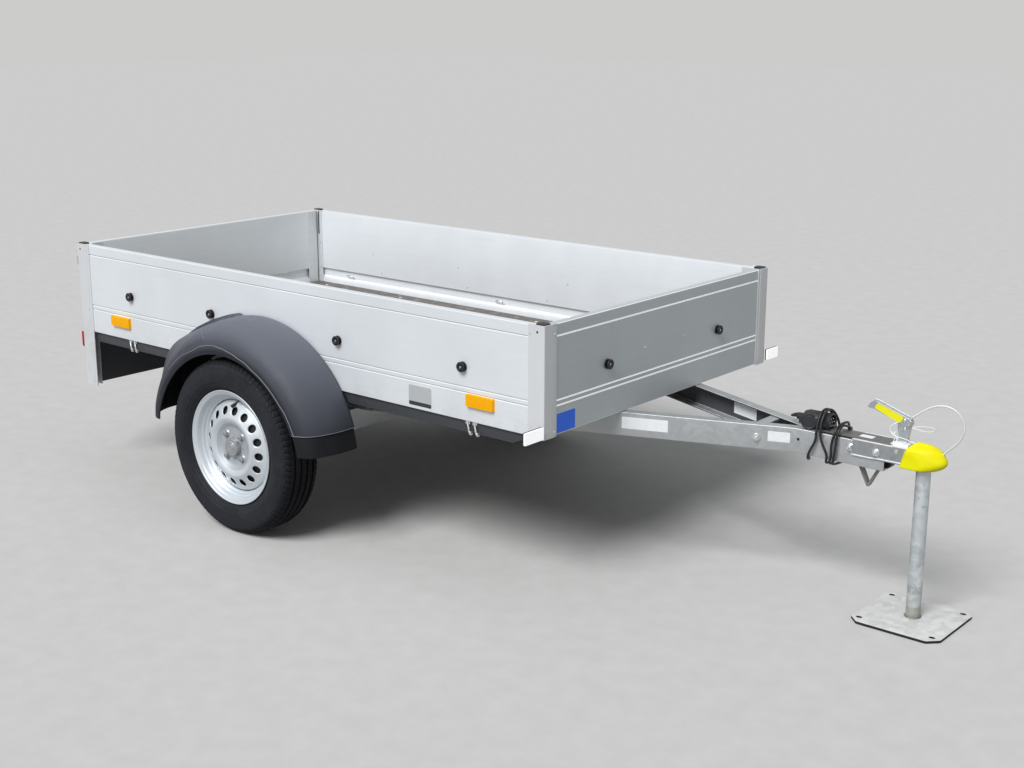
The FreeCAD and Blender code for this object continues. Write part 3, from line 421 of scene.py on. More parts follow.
# Cords, on the same routes as the solids
def cord_curve(name, points, radius, material):
    data = bpy.data.curves.new(name, "CURVE")
    data.dimensions = "3D"
    spline = data.splines.new("NURBS")
    spline.points.add(len(points) - 1)
    for control, point in zip(spline.points, points):
        control.co = (*at(*point), 1)
    spline.order_u = 3
    spline.use_endpoint_u = True
    spline.resolution_u = 10
    data.bevel_depth = radius * MM
    data.bevel_resolution = 5
    data.use_fill_caps = True
    data.materials.append(material)
    piece = bpy.data.objects.new(name, data)
    bpy.context.scene.collection.objects.link(piece)
    return piece


# Turns of the lead round the nose: stations at the bottom, middle and top, height of the top, station on the left
TURNS = [
    (2614, 2640, 2638, 538, 2651),
    (2670, 2656, 2648, 538, 2663),
    (2681, 2686, 2695, 509, 2691),
    (2690, 2700, 2703, 510, None),
]
lead_route = [(2040, -172, 462), (2072, -172, 462), (2118, -178, 448), (2168, -170, 430), (2228, -148, 419),
              (2295, -118, 420), (2362, -94, 416), (2418, -68, 422), (2462, -34, 415), (2502, -6, 403),
              (2545, 4, 403), (2578, 6, 404), (2596, -6, 401)]
for bottom_x, middle_x, top_x, top_z, left_x in TURNS:
    lead_route += [(bottom_x, -26, 396), (bottom_x + 2, -46, 402), (bottom_x + 8, -49, 424), (middle_x, -47, 458),
                   (top_x, -45, 492), (top_x + 1, -23, top_z)]
    if left_x:
        lead_route += [(top_x + 3, 21, top_z), (left_x, 45, 494), (left_x - 3, 48, 452),
                       (left_x, 48, 412), (left_x + 3, 25, 394)]
lead_route += [(2705, 14, 498), (2702, 43, 485), (2688, 56, 472), (2650, 58, 471), (2602, 55, 480),
               (2562, 51, 494), (2540, 46, 498), (2529, 34, 497), (2529, 14, 498), (2539, 1, 502),
               (2556, 0, 504)]
lead = cord_curve("lighting_lead_cord", lead_route, 3.5, CABLE)
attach(lead, "chassis")
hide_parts("lighting_lead")

safety_route = [(2886, 0, 555), (2902, 0, 568), (2921, 0, 583), (2943, 0, 598), (2968, 0, 606.5), (2994, 0, 607),
                (3017, 0, 596), (3033, 0, 576), (3038, 0, 550), (3030, 0, 525), (3012, 0, 504),
                (2993.5, 0, 486), (2984.5, 0, 474.6)]
safety = cord_curve("safety_cable_cord", safety_route, 2.5, WIRE)
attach(safety, "chassis")
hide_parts("safety_cable")


# Mesh tools: each adds one solid, in millimetre stations, to a growing mesh
BEVEL_ANGLE = math.radians(28)


def sharp_edges(part):
    return [e for e in part.edges if len(e.link_faces) == 2 and e.calc_face_angle(0) > BEVEL_ANGLE]


def band(part, first, second):
    """Faces between two rings of as many points."""
    for i in range(len(first)):
        j = (i + 1) % len(first)
        part.faces.new((first[i], first[j], second[j], second[i]))


def drum(rings):
    """Closed solid through rings of points, with flat ends."""
    part = bmesh.new()
    made = [[part.verts.new(point) for point in ring] for ring in rings]
    for first, second in zip(made, made[1:]):
        band(part, first, second)
    part.faces.new(made[0][::-1])
    part.faces.new(made[-1])
    return part


def circle(count, start=0):
    """Cosine and sine of evenly spaced angles."""
    return [(math.cos(a), math.sin(a)) for a in (2 * math.pi * (k + start) / count for k in range(count))]


def rect(low_u, low_v, high_u, high_v):
    return [(low_u, low_v), (high_u, low_v), (high_u, high_v), (low_u, high_v)]


def recolour(piece, index, test):
    """Another of the piece's materials for those first-material faces that pass a test."""
    for face in piece.data.polygons:
        if face.material_index == 0 and test(face):
            face.material_index = index


class Build:
    """Collects solids into one mesh; every solid has its own material number."""

    def __init__(self):
        self.mesh = bmesh.new()

    def take(self, part, material=0, bevel=0, segments=2):
        if bevel:
            bmesh.ops.bevel(part, geom=sharp_edges(part), offset=bevel * MM, segments=segments, profile=0.6,
                            affect="EDGES", clamp_overlap=True)
        for face in part.faces:
            face.material_index = material
        bmesh.ops.recalc_face_normals(part, faces=part.faces[:])
        carrier = bpy.data.meshes.new("carrier")
        part.to_mesh(carrier)
        part.free()
        self.mesh.from_mesh(carrier)
        bpy.data.meshes.remove(carrier)
        return self

    def prism(self, outline, plane, start, end, material=0, bevel=0, segments=2):
        """Outline in the plane across an axis: x takes (y, z), y takes (x, z), z takes (x, y)."""
        rings = [[at(*{"x": (along, u, v), "y": (u, along, v), "z": (u, v, along)}[plane]) for u, v in outline]
                 for along in (start, end)]
        return self.take(drum(rings), material, bevel, segments)

    def box(self, low, high, material=0, bevel=0, segments=2):
        return self.prism(rect(*low[:2], *high[:2]), "z", low[2], high[2], material, bevel, segments)

    def lathe(self, profile, base, axis, steps=32, material=0):
        """Profile of (along, radius) turned about a line from base along an axis."""
        part = bmesh.new()
        axis = Vector(axis).normalized()
        side = axis.orthogonal().normalized()
        other = axis.cross(side)
        start = at(*base)
        rings = []
        for along, radius in profile:
            round_points = circle(steps) if radius else [(0, 0)]
            rings.append([part.verts.new(start + (axis * along + (side * c + other * s) * radius) * MM)
                          for c, s in round_points])
        for first, second in zip(rings, rings[1:]):
            for i in range(steps):
                j = (i + 1) % steps
                corners = [first[i % len(first)], first[j % len(first)], second[j % len(second)],
                           second[i % len(second)]]
                unique = list(dict.fromkeys(corners))
                if len(unique) > 2:
                    part.faces.new(unique)
        return self.take(part, material)

    def rod(self, start, end, radius, steps=24, material=0, edge=0.5):
        """Round bar between two points with softened ends."""
        first, last = Vector(start), Vector(end)
        length = (last - first).length
        profile = [(0, 0), (0, radius - edge), (edge * 0.3, radius - edge * 0.3), (edge, radius),
                   (length - edge, radius), (length - edge * 0.3, radius - edge * 0.3),
                   (length, radius - edge), (length, 0)]
        return self.lathe(profile, start, last - first, steps, material)

    def rivet(self, base, axis, radius=4, height=1.6, material=0, steps=16):
        profile = [(0, radius), (height * 0.45, radius * 0.92), (height * 0.85, radius * 0.62), (height, radius * 0.25),
                   (height * 0.86, 0)]
        return self.lathe(profile, base, axis, steps, material)

    def bolt(self, base, axis, across, height, washer=0):
        """Hexagon head with a chamfered crown, on a washer if asked."""
        direction = Vector(axis).normalized()
        origin = Vector(base)
        if washer:
            self.lathe([(0, 0), (0, washer), (1.2, washer), (1.6, washer - 0.5), (1.6, 0)], base, axis, 28)
            origin = origin + direction * 1.6
        side = direction.orthogonal().normalized()
        other = direction.cross(side)
        reach = across / math.sqrt(3)
        rings = [[at(*(origin + direction * along + (side * c + other * s) * reach * scale)) for c, s in circle(6)]
                 for along, scale in ((0, 1), (height * 0.82, 1), (height, 0.86))]
        return self.take(drum(rings), 0, 0.4, 1)

    def tube(self, points, radius, steps=12, material=0, smooth=6, taper=None):
        """Round bar along a smooth line through the points."""
        line = smooth_line(points, smooth)
        rings = []
        count = len(line)
        previous = None
        for i, point in enumerate(line):
            ahead = line[min(i + 1, count - 1)] - line[max(i - 1, 0)]
            ahead.normalize()
            side = previous - ahead * previous.dot(ahead) if previous else ahead.orthogonal()
            side.normalize()
            previous = side
            other = ahead.cross(side)
            size = radius * (taper(i / (count - 1)) if taper else 1)
            rings.append([at(*(point + (side * c + other * s) * size)) for c, s in circle(steps)])
        return self.take(drum(rings), material)

    def plate(self, outline, start, end, plane, material, corner):
        """Thin plate whose outline has rounded corners."""
        return self.prism(rounded(outline, corner), plane, start, end, material, 0.4, 1)

    def grid(self, rows, material=0, thickness=0):
        """Surface through rows of points, given a thickness towards its back."""
        part = bmesh.new()
        made = [[part.verts.new(at(*point)) for point in row] for row in rows]
        for upper, lower in zip(made, made[1:]):
            for i in range(len(upper) - 1):
                part.faces.new((upper[i], upper[i + 1], lower[i + 1], lower[i]))
        bmesh.ops.recalc_face_normals(part, faces=part.faces[:])
        if thickness:
            bmesh.ops.solidify(part, geom=part.faces[:], thickness=thickness * MM)
        return self.take(part, material)

    def finish(self, name, materials, slot, replaces=(), angle=32, body="chassis"):
        data = bpy.data.meshes.new(name)
        self.mesh.to_mesh(data)
        self.mesh.free()
        for material in materials:
            data.materials.append(material)
        data.shade_smooth()
        data.set_sharp_from_angle(angle=math.radians(angle))
        piece = bpy.data.objects.new(name, data)
        bpy.context.scene.collection.objects.link(piece)
        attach(piece, body)
        if replaces:
            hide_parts(*replaces)
        return piece


def smooth_line(points, parts):
    """Catmull-Rom line through the points; parts is a count for every span, or a function of a span's length."""
    spots = [Vector(p) for p in points]
    line = []
    for i in range(len(spots) - 1):
        a, b = spots[max(i - 1, 0)], spots[i]
        c, d = spots[i + 1], spots[min(i + 2, len(spots) - 1)]
        count = parts((b - c).length) if callable(parts) else parts
        for k in range(count):
            t = k / count
            line.append(0.5 * ((2 * b) + (c - a) * t + (2 * a - 5 * b + 4 * c - d) * t * t
                               + (3 * b - a - 3 * c + d) * t ** 3))
    return line + [spots[-1]]


def rounded(outline, radius, steps=4):
    """Outline with its convex corners rounded."""
    result = []
    count = len(outline)
    for i in range(count):
        before, corner, after = (Vector(outline[(i + k) % count]).to_2d() for k in (-1, 0, 1))
        first, second = (before - corner).normalized(), (after - corner).normalized()
        cut = min(radius, (before - corner).length * 0.45, (after - corner).length * 0.45)
        start, end = corner + first * cut, corner + second * cut
        for k in range(steps + 1):
            t = k / steps
            spot = start * (1 - t) ** 2 + corner * 2 * t * (1 - t) + end * t ** 2
            result.append((spot.x, spot.y))
    return result


def softened(node, materials, slot, body="chassis", width=1, segments=2):
    """Copy of a CAD node with rounded edges, shown in its place."""
    part = bmesh.new()
    part.from_mesh(NODES[node].data)
    bmesh.ops.remove_doubles(part, verts=part.verts[:], dist=0.00002)
    bmesh.ops.dissolve_limit(part, angle_limit=math.radians(0.6), verts=part.verts[:], edges=part.edges[:])
    return Build().take(part, 0, width, segments).finish(node + "_body", materials, slot, [node], body=body)


# Walls
GROOVES = (276.5, 97.5, 82.5)
LIT_GROOVE = ((-25, 2), (-22.4, 1.7), (-22.2, 1), (-24.7, -2.8), (-25, -3))
DARK_GROOVE = ((-25, 2.3), (-24.6, 2), (-22.3, 2), (-22.3, -0.2), (-24.7, -2.2), (-25, -2.6))


def wall_outline(base, way, section):
    """Wall section as (place, height): base is the place of its inner face, way the sign towards the inside."""
    points = [(0, 0), (0, 32), (-4.6, 40), (-8, 46), (-8, 77), (0, 77), (0, 306), (-1.5, 310), (-23.5, 310),
              (-25, 308.5)]
    points += [(depth, groove + height) for groove in GROOVES for depth, height in section]
    points += [(-25, 1.5), (-23.5, 0)]
    return [(base + way * depth, WALL_FOOT + height) for depth, height in points]


def mark_grooves(piece, index, low, high, depth_of):
    """Give one strip of each groove another material: painted shade on the side walls, painted highlight on the front
    wall and tailgate.
    """
    recolour(piece, index, lambda face: low < depth_of(face.center / MM) < high and face.area > 0.0001)


def wall_side(side):
    build = Build()
    inner = side * INNER_Y
    build.prism(wall_outline(inner, -side, DARK_GROOVE), "x", 4, FRONT_X)
    for z, stations in ((642, (341, 795, 1319, 1772)), (571, (840, 1226, 388, 1690))):
        for x in stations:
            build.rivet((x, inner, z), (0, -side, 0), 3.2, 1.2, 2)
    for x in (210, 1000, 1850):
        eye = [(x - 17, inner + side * 6, 531), (x - 15, inner - side * 3, 538), (x, inner - side * 6, 542),
               (x + 15, inner - side * 3, 538), (x + 17, inner + side * 6, 531)]
        build.tube(eye, 2.2, 10, 1)
    name = SIDES[side]
    piece = build.finish(f"wall_{name}", [WALL_LONG, ZINC, GROOVE_SHADE, GROOVE_HIGHLIGHT], "wall_aluminium",
                         [f"side_wall_{name}"])
    # Painted shade: the inner strip of each side-wall groove takes the darker aluminium
    mark_grooves(piece, 2, 22, 22.6, lambda spot: abs(spot.y) - INNER_Y)
    # Painted highlight: the up-facing chamfer of the inner ledge, 521 to 527 mm high, takes the glowing near-white
    # paint
    recolour(piece, 3, lambda face: face.normal.z > 0.3 and 521 < face.center.z / MM < 527)


for side in SIDES:
    wall_side(side)

build = Build()
build.prism(wall_outline(FRONT_INNER, -1, LIT_GROOVE), "y", -INNER_Y, INNER_Y)
for y in (-103, 103):
    build.rivet((FRONT_X, y, 650), (1, 0, 0), 3, 1.2, 1)
for y in (-380, 0, 380):
    build.rivet((FRONT_INNER, y, 571), (-1, 0, 0), 3.2, 1.2, 1)
# The front wall takes the darker copy of the aluminium: painted shade
piece = build.finish("wall_front", [WALL_FRONT_SHADE, ZINC, GROOVE_HIGHLIGHT], "wall_aluminium", ["front_wall"])
# Painted highlight: the up-facing chamfer of each groove takes the glowing near-white paint
mark_grooves(piece, 2, 22.8, 24.4, lambda spot: spot.x + ORIGIN_X - FRONT_INNER)

build = Build()
build.prism(wall_outline(REAR_INNER, 1, LIT_GROOVE), "y", -541, 541)
for side in SIDES:
    build.plate(rect(side * 539, 482, side * 491, 788), REAR_INNER, 26.6, "x", 0, 3)
    for z in (500, 770):
        build.rivet((26.6, side * 515, z), (1, 0, 0), 3.4, 1.2, 2)
piece = build.finish("tailgate_skin", [WALL_CROSS, POST, ZINC, GROOVE_HIGHLIGHT], "wall_aluminium",
                     ["tailgate_panel"], body="tailgate")
# Painted highlight: the up-facing chamfer of each groove takes the glowing near-white paint
mark_grooves(piece, 3, 22.8, 24.4, lambda spot: REAR_INNER - spot.x - ORIGIN_X)

# Floor
build = Build()
build.box((32, -545, 488), (2078, 545, 500), 0, 0.6, 1)
for x in (120, 535, 1215, 1695, 2020):
    for y in (-500, -170, 170, 500):
        build.lathe([(0, 6.5), (0.8, 6), (1.1, 4), (0.7, 0)], (x, y, 500), (0, 0, 1), 14, 1)
build.finish("floor_board_panel", [WOOD, ZINC], "floor_sheet", ["floor_panel"])


# Corner posts
def post(end, side):
    """Extruded corner post with a stepped flange, a rounded corner and its fixings."""
    build = Build()
    if end == "rear":
        face, way, foot, leg, hole = 0, 1, 282, 64, 17
        inner = [(4, 3.8), (4, 29), (50, 29), (50, 31), (1, 31), (0, 29.5)]
        rivets = ((49, 771), (47, 560), (47, 524), (48, 436), (50, 300))
    else:
        face, way, foot, leg, hole = 2110, -1, 477, 57, 25
        inner = [(3.8, 3.8), (3.8, 55), (1.2, 55), (1, 44.6), (0, 44)]
        rivets = ((49, 768), (31, 497), (50, 487))
    outline = [(1.6, 0.3), (4, 0), (leg - 11, 0), (leg - 10.4, 1), (leg, 1.2), (leg, 3.8), *inner, (0, 4),
               (0.3, 1.6)]
    build.prism([(face + way * along, side * (POST_Y - across)) for along, across in outline], "z", foot, 792, 0,
                0.25, 1)
    out = (0, side, 0)
    for along, z in rivets:
        build.rivet((face + way * along, side * POST_Y, z), out, 3.4, 1.3, 1)
    # Near-black disc on the side leg: painted shade
    build.lathe([(0, 3.4), (0.25, 3.2), (0.25, 0)], (face + way * hole, side * POST_Y, 773), out, 18, 2)
    if end == "front":
        for y, z, radius, height in ((531, 764, 3.2, 1.2), (531, 491, 3.2, 1.2), (562, 500, 2.6, 1)):
            build.rivet((face, side * y, z), (1, 0, 0), radius, height, 1)
    else:
        for z in (560, 660, 770):
            build.rivet((40, side * 546, z), (0, -side, 0), 3, 1.1, 1)
        # Near-black strip in the gap beside the tailgate: painted shade
        build.box((31.5, side * 546, 696), (35.5, side * 544, 788), 2)
    name = SIDES[side]
    build.finish(f"corner_post_{end}_{name}", [POST, ZINC, SHADE_BLACK], "post_aluminium", [f"post_{end}_{name}"])


for end in ("rear", "front"):
    for side in SIDES:
        post(end, side)

build = Build()
for side in SIDES:
    for low_x, high_x, across in ((3, 33, 25), (2076, 2105, 29)):
        outline = rect(low_x, side * (OUTER_Y - across), high_x, side * OUTER_Y)
        build.prism(rounded(outline, 3.5), "z", 790.5, 795, 0, 1, 2)
build.finish("corner_caps", [KNOB_BLACK], "black_plastic", ["post_caps"])

build = Build()
for side in SIDES:
    outline = [(2081, 548), (2031, 548), (2031, 546), (2076, 546), (2079, 543), (2079, 498), (2081, 498)]
    build.prism([(x, side * y) for x, y in outline], "z", 500, 789, 0, 0.3, 1)
    for z in (520, 640, 765):
        build.rivet((2050, side * 546, z), (0, -side, 0), 3, 1.1, 1)
        build.rivet((2079, side * 515, z), (-1, 0, 0), 3, 1.1, 1)
build.finish("corner_trim_strips", [POST, ZINC], "post_aluminium", ["corner_trims"])


# Chassis under the box
def soft_step(value, start, end):
    t = min(1, max(0, (value - start) / (end - start)))
    return t * t * (3 - 2 * t)


for node in ("axle_brackets", "cross_members", "axle_beam"):
    softened(node, [GALV_FRAME], "galvanised_steel", width=1.2)
for name in SIDES.values():
    # Side rails in the near-black shade material: painted shade under the walls
    piece = softened(f"side_rail_{name}", [SHADE_GREY], "galvanised_steel", width=1.2)
    for vert in piece.data.vertices:
        if vert.co.x > at(2010, 0, 0).x:
            vert.co.x -= 78 * MM * soft_step(478 - vert.co.z / MM, 0, 22)
for side, name in SIDES.items():
    piece = softened(f"drawbar_{name}", [GALV, BAR_HIGHLIGHT, SHADE_GREY], "galvanised_steel", width=2.2, segments=3)
    # Painted highlight on the rounded top edges of the channel
    recolour(piece, 1, lambda face: 0.35 < face.normal.z < 0.985)
    # Painted shade on the inner faces of the channel
    recolour(piece, 2, lambda face: face.normal.y * side < -0.5)
softened("drawbar_brace", [GALV], "galvanised_steel", width=0.8)
build = Build()
build.prism(rounded([(2818, 411), (2842, 412), (2848, 420), (2848, 432), (2818, 432)], 5), "y", -13, 13, 0, 3, 3)
build.finish("drawbar_plug", [BLACK], "black_plastic", ["drawbar_end_cap"])
piece = softened("lamp_panel", [POST, SHADE_GREY], "post_aluminium", width=0.6)
# Painted shade on the panel's forward faces
recolour(piece, 1, lambda face: face.normal.x > 0.5)
softened("mudguard_stays", [GALV_FRAME], "galvanised_steel")
piece = softened("reflector_arms", [POST], "black_plastic", width=0.8)
for vert in piece.data.vertices:
    vert.co.y = math.copysign(max(abs(vert.co.y), 584 * MM), vert.co.y)
for name in SIDES.values():
    softened(f"swing_arm_{name}", [GALV_FRAME], "galvanised_steel", width=2)
softened("gate_fittings", [ZINC_DULL], "zinc_steel", width=0.5)
softened("tailgate_hinges", [ZINC_DULL], "zinc_steel", "tailgate", width=0.5)
softened("tailgate_latches", [ZINC], "zinc_steel", "tailgate", width=1.2)
softened("junction_box", [BLACK], "black_plastic", width=3, segments=3)


# Wheels
def wheel_spot(side, along, radius, angle):
    """Point at a depth along the axle (outwards), a radius and an angle forward of the top."""
    return at(WHEEL_X + radius * math.sin(angle), side * (WHEEL_Y + along), WHEEL_Z + radius * math.cos(angle))


def turned(side, profile, steps, shape=None, closed=True):
    """Mesh of a closed section (depth, radius) turned about the axle; shape may change each point."""
    part = bmesh.new()
    rings = []
    for k in range(steps):
        pairs = [shape(*pair, k) for pair in profile] if shape else profile
        rings.append([part.verts.new(wheel_spot(side, *pair, 2 * math.pi * k / steps)) for pair in pairs])
    for ring, following in zip(rings, rings[1:] + rings[:1]):
        for i in range(len(profile) - (not closed)):
            j = (i + 1) % len(profile)
            part.faces.new((ring[i], ring[j], following[j], following[i]))
    return part


# Section of the rim seen from outside: rolled flange, bead seat and stepped well
BARREL = [(-58.7, 181.5), (-57.7, 182.5), (-54.5, 182.2), (-52.6, 179), (-51, 170), (-49, 168.3), (-38, 164.5),
          (-30, 160.5), (-24, 152), (-20, 150), (20, 150), (24, 152), (30, 160.5), (38, 164.5), (49, 168.3),
          (51, 170), (52.6, 179), (54.5, 182.2), (57.4, 182.5), (58.5, 181.7), (58.7, 180.5), (57.6, 178.4),
          (55.4, 176.2), (54.2, 171), (52, 167.4), (48.5, 165.4), (39, 161.6), (36.8, 160.2), (35.6, 157.6),
          (33, 156.2), (28.4, 154.6), (26.2, 152.4), (25.2, 149.6), (22, 147.8), (12, 147.3),
          (-20, 146.5), (-26, 149.5), (-32, 157.5), (-39, 161.5), (-50, 165.5), (-54.5, 169), (-55.6, 177),
          (-58, 179.6)]
# Dished disc inside the vents, and the edge outside them
DISC_INNER = [(25, 30), (37.2, 30), (37.4, 33), (37.4, 59), (38.2, 62), (40.4, 66), (43.6, 70.6),
              (46.9, 75.6), (49.9, 80.8), (52.2, 85.8), (53.6, 90.2), (53.9, 93.2), (53.3, 96.2), (51.6, 99)]
DISC_OUTER = [(32.6, 133.5), (31.2, 136.6), (28.6, 140), (24.2, 143.2), (17.5, 145.4), (8, 146.4), (8, 143)]
VENTS, VENT_CIRCLE, VENT_RADIUS = 16, 116, 12.4
VENT_TURN = 0.25
RING_LOW, RING_HIGH = 99, 133.5


def disc_height(radius):
    t = (radius - RING_LOW) / (RING_HIGH - RING_LOW)
    return 51.6 - 19.0 * t + 0.8 * math.sin(math.pi * t)


def vent_ring(part, side):
    """Sixteen sectors of the disc, each a rounded grid about its pressed vent."""
    half, width = math.pi / VENTS, RING_HIGH - RING_LOW
    border = [(-half + 2 * half * k / 8, RING_HIGH) for k in range(8)]
    border += [(half, RING_HIGH - width * k / 8) for k in range(8)]
    border += [(half - 2 * half * k / 8, RING_LOW) for k in range(8)]
    border += [(-half, RING_LOW + width * k / 8) for k in range(8)]
    for index in range(VENTS):
        middle = 2 * half * (index + VENT_TURN)
        rings = [[part.verts.new(wheel_spot(side, disc_height(r), r, middle + a)) for a, r in border]]
        for reach, drop in ((3, 0), (1.7, 0.2), (0.7, 0.7), (0.1, 1.6), (0, 3.6)):
            ring = []
            for a, r in border:
                across, along = VENT_CIRCLE * a, r - VENT_CIRCLE
                size = math.hypot(across, along)
                across, along = (value / size * (VENT_RADIUS + reach) for value in (across, along))
                radius = math.hypot(VENT_CIRCLE + along, across)
                angle = middle + math.atan2(across, VENT_CIRCLE + along)
                ring.append(part.verts.new(wheel_spot(side, disc_height(radius) - drop, radius, angle)))
            rings.append(ring)
        for first, second in zip(rings, rings[1:]):
            band(part, first, second)


def tyre_section():
    """Closed section of the tyre: tread with four grooves, shoulders and ribbed walls."""
    shoulder = [(45, 276.2), (50, 274.9), (54, 273.4), (57, 271.6), (59.5, 269.3), (61.5, 266)]
    tread = []
    for groove in (-36, -12, 12, 36):
        crown = 279 - 0.0012 * (groove * groove - 144)
        tread += [(groove + across, crown - depth) for across, depth in (
            (-4.4, 0), (-3.6, 0.6), (-2.8, 6.5), (2.8, 6.5), (3.6, 0.6), (4.4, 0))]
    wall = [(63.6, 262.4), (65.6, 260.8), (66.6, 257.6), (67.6, 255), (69.1, 254.2), (69.3, 253), (68.9, 251.4),
            (69.3, 249.4), (70.4, 246), (71.4, 240), (72.1, 233), (72.4, 229), (72.4, 224), (71.9, 218), (70.8, 212),
            (70.9, 210.8), (69.9, 209.6), (68.2, 205.4), (66.2, 201.4), (65.8, 200.4), (65.9, 199.2), (63.2, 196.4),
            (60.6, 193.6), (60.3, 192.2), (59, 190.6), (56.4, 187.6), (54.6, 186), (53.2, 184.6)]
    half = shoulder + wall + [(50, 184), (50, 169.5), (38, 165.5)]
    return tread + half + [(-along, radius) for along, radius in reversed(half)]


TREAD_PITCH, TREAD_STEPS = 88, 5


def tread_shape(along, radius, k):
    """Shoulder slots and fine cross cuts, repeated round the tyre."""
    phase = k % TREAD_STEPS
    across = abs(along)
    if radius > 262.0 and across > 41.5:
        if phase == (1 if along > 0 else 3):
            return along, radius - min(3.4, 0.8 + 0.35 * (across - 41.5))
    elif radius > 277.0 and across < 31.0 and phase == (2 if across < 8 else 4):
        return along, radius - 1.6
    return along, radius


def reach_of(face):
    """Distance of a face from the axle, in millimetres."""
    axis = at(WHEEL_X, 0, WHEEL_Z)
    return math.hypot(face.center.x - axis.x, face.center.z - axis.z) / MM


def wheel(side):
    name = SIDES[side]
    body = f"wheel_{name}"
    build = Build()
    build.take(turned(side, BARREL, 144))
    part = turned(side, DISC_INNER, 128, closed=False)
    vent_ring(part, side)
    build.take(part)
    build.take(turned(side, DISC_OUTER, 128, closed=False))
    # Near-black shell behind the disc: painted shade seen through the vents
    build.take(turned(side, [(12, 66), (42, 85), (38.5, 99), (21, 134), (16, 138), (33, 99), (36, 88), (8, 68)], 96), 1)
    piece = build.finish(f"rim_{name}_pressed", [RIM, SHADE_BLACK, RIM_RECESS_SHADE], "rim_paint", [f"rim_{name}"], 50, body)
    # Painted shade: the darker rim paint on the disc inside 78 mm, in the hub recess
    recolour(piece, 2, lambda face: reach_of(face) < 78)

    build = Build()
    build.take(turned(side, tyre_section(), TREAD_PITCH * TREAD_STEPS, tread_shape))
    build.lathe([(0, 3.2), (0.9, 2.6), (0.9, 1.6), (0.2, 0)], (WHEEL_X - 216, side * (WHEEL_Y + 72), WHEEL_Z + 26),
                (0, side, 0), 16)
    piece = build.finish(f"tyre_{name}_tread", [TYRE, TREAD], "tyre_rubber", [f"tyre_{name}"], 38, body)
    recolour(piece, 1, lambda face: reach_of(face) > 263.5)

    build = Build()
    out = (0, side, 0)
    build.lathe([(-54, 15.5), (-54, 40), (-40, 43), (8, 43), (10, 64), (30, 66), (36, 64), (36, 29.5), (50.5, 29.3),
                 (52.2, 28.6), (53.2, 27), (53.4, 24), (53, 21.5), (52.6, 20.2), (53.2, 18.6), (54.4, 17.4),
                 (54.6, 15), (54, 12.6), (53.2, 11.4), (54, 10), (55, 8.4), (55, 3), (54.2, 0)],
                (WHEEL_X, side * WHEEL_Y, WHEEL_Z), out, 48)
    for c, s in circle(4, 0.5):
        x, z = WHEEL_X + 49 * c, WHEEL_Z + 49 * s
        build.lathe([(37, 14.5), (37.8, 13.6), (40, 11.4), (41.4, 10.6), (41.4, 0)], (x, side * WHEEL_Y, z), out, 28)
        build.bolt((x, side * (WHEEL_Y + 40.6), z), out, 15, 8.2)
        # Near-black hollow in each bolt head: painted shade
        build.lathe([(0, 4.4), (0.5, 4), (-2.6, 3.4), (-2.8, 0)], (x, side * (WHEEL_Y + 48.6), z), out, 18, 1)
    for c, s in circle(4):
        x, z = WHEEL_X + 40 * c, WHEEL_Z + 40 * s
        build.lathe([(37.2, 4.5), (37.9, 3.8), (37.9, 0)], (x, side * WHEEL_Y, z), out, 16)
    build.finish(f"hub_{name}_bolts", [HUB, SHADE_BLACK], "zinc_steel", [f"hub_{name}"], body=body)

    build = Build()
    build.tube([(WHEEL_X + 10, side * 706, WHEEL_Z + 143), (WHEEL_X + 9, side * 716, WHEEL_Z + 140.5),
                (WHEEL_X + 6, side * 728, WHEEL_Z + 135.5), (WHEEL_X + 3, side * 740, WHEEL_Z + 130.5)], 4.5, 14, 0, 6,
               lambda t: 1.5 - 0.5 * min(1, t / 0.3) if t < 0.62 else 1.12)
    build.finish(f"valve_{name}", [BLACK], "black_plastic", body=body)


for side in SIDES:
    wheel(side)


# Mudguards: section rows of width, radius and centre offset from the wheel
GUARD_ROWS = [(578, 300, -14, -27), (578.2, 398, -14, -27), (579.5, 407, -14, -27), (584, 411, -14, -27),
              (600, 412, -14, -27), (640, 411, -12, -27), (668, 408.4, -12, -28), (690, 404, -12, -29),
              (706, 399.8, -11, -30), (720, 394, -10, -31), (732, 387.8, -9, -32.5), (742, 380, -8, -34),
              (750.5, 371.4, -8, -36), (757, 362, -8, -38), (761.5, 353.4, -7, -39.5), (764, 345, -6, -41),
              (765, 335, -6, -43)]
CREASE = [(-88, 345), (-74, 346), (-56, 347), (-47, 345), (-36, 334), (-27, 327), (-14, 323), (-5.5, 322), (3, 314),
          (13, 307), (23, 305), (39, 309), (56, 320), (65, 328), (73, 333), (90, 341)]


def between(table, value):
    """Value of a table of pairs, in a straight line between its rows."""
    if value <= table[0][0]:
        return table[0][1]
    for (x0, y0), (x1, y1) in zip(table, table[1:]):
        if value <= x1:
            t = (value - x0) / (x1 - x0)
            return y0 + (y1 - y0) * t
    return table[-1][1]


BOXY = [(-88, 0), (-84, 2), (-78, 12), (-72, 26), (-66, 40), (-60, 50), (-56, 52), (-52, 48), (-49, 41), (-44, 28),
        (-38, 15), (-32, 6), (-26, 2), (-15, 1), (-8, 0)]
RIB = [(-72, 0), (-62, 5), (-52, 12), (-42, 17), (-32, 16), (-22, 10), (-14.9, 7), (-14.2, 0)]
TRIM = [(-96, -14), (-88, -12), (-80, -4), (-73, 2), (-60, 3), (70, 3), (90, 0)]
RIB_EDGE = [(578, -14.5), (604, -14.5), (608, -23), (640, -27), (680, -26), (700, -24), (730, -19), (752, -14),
            (800, -14)]


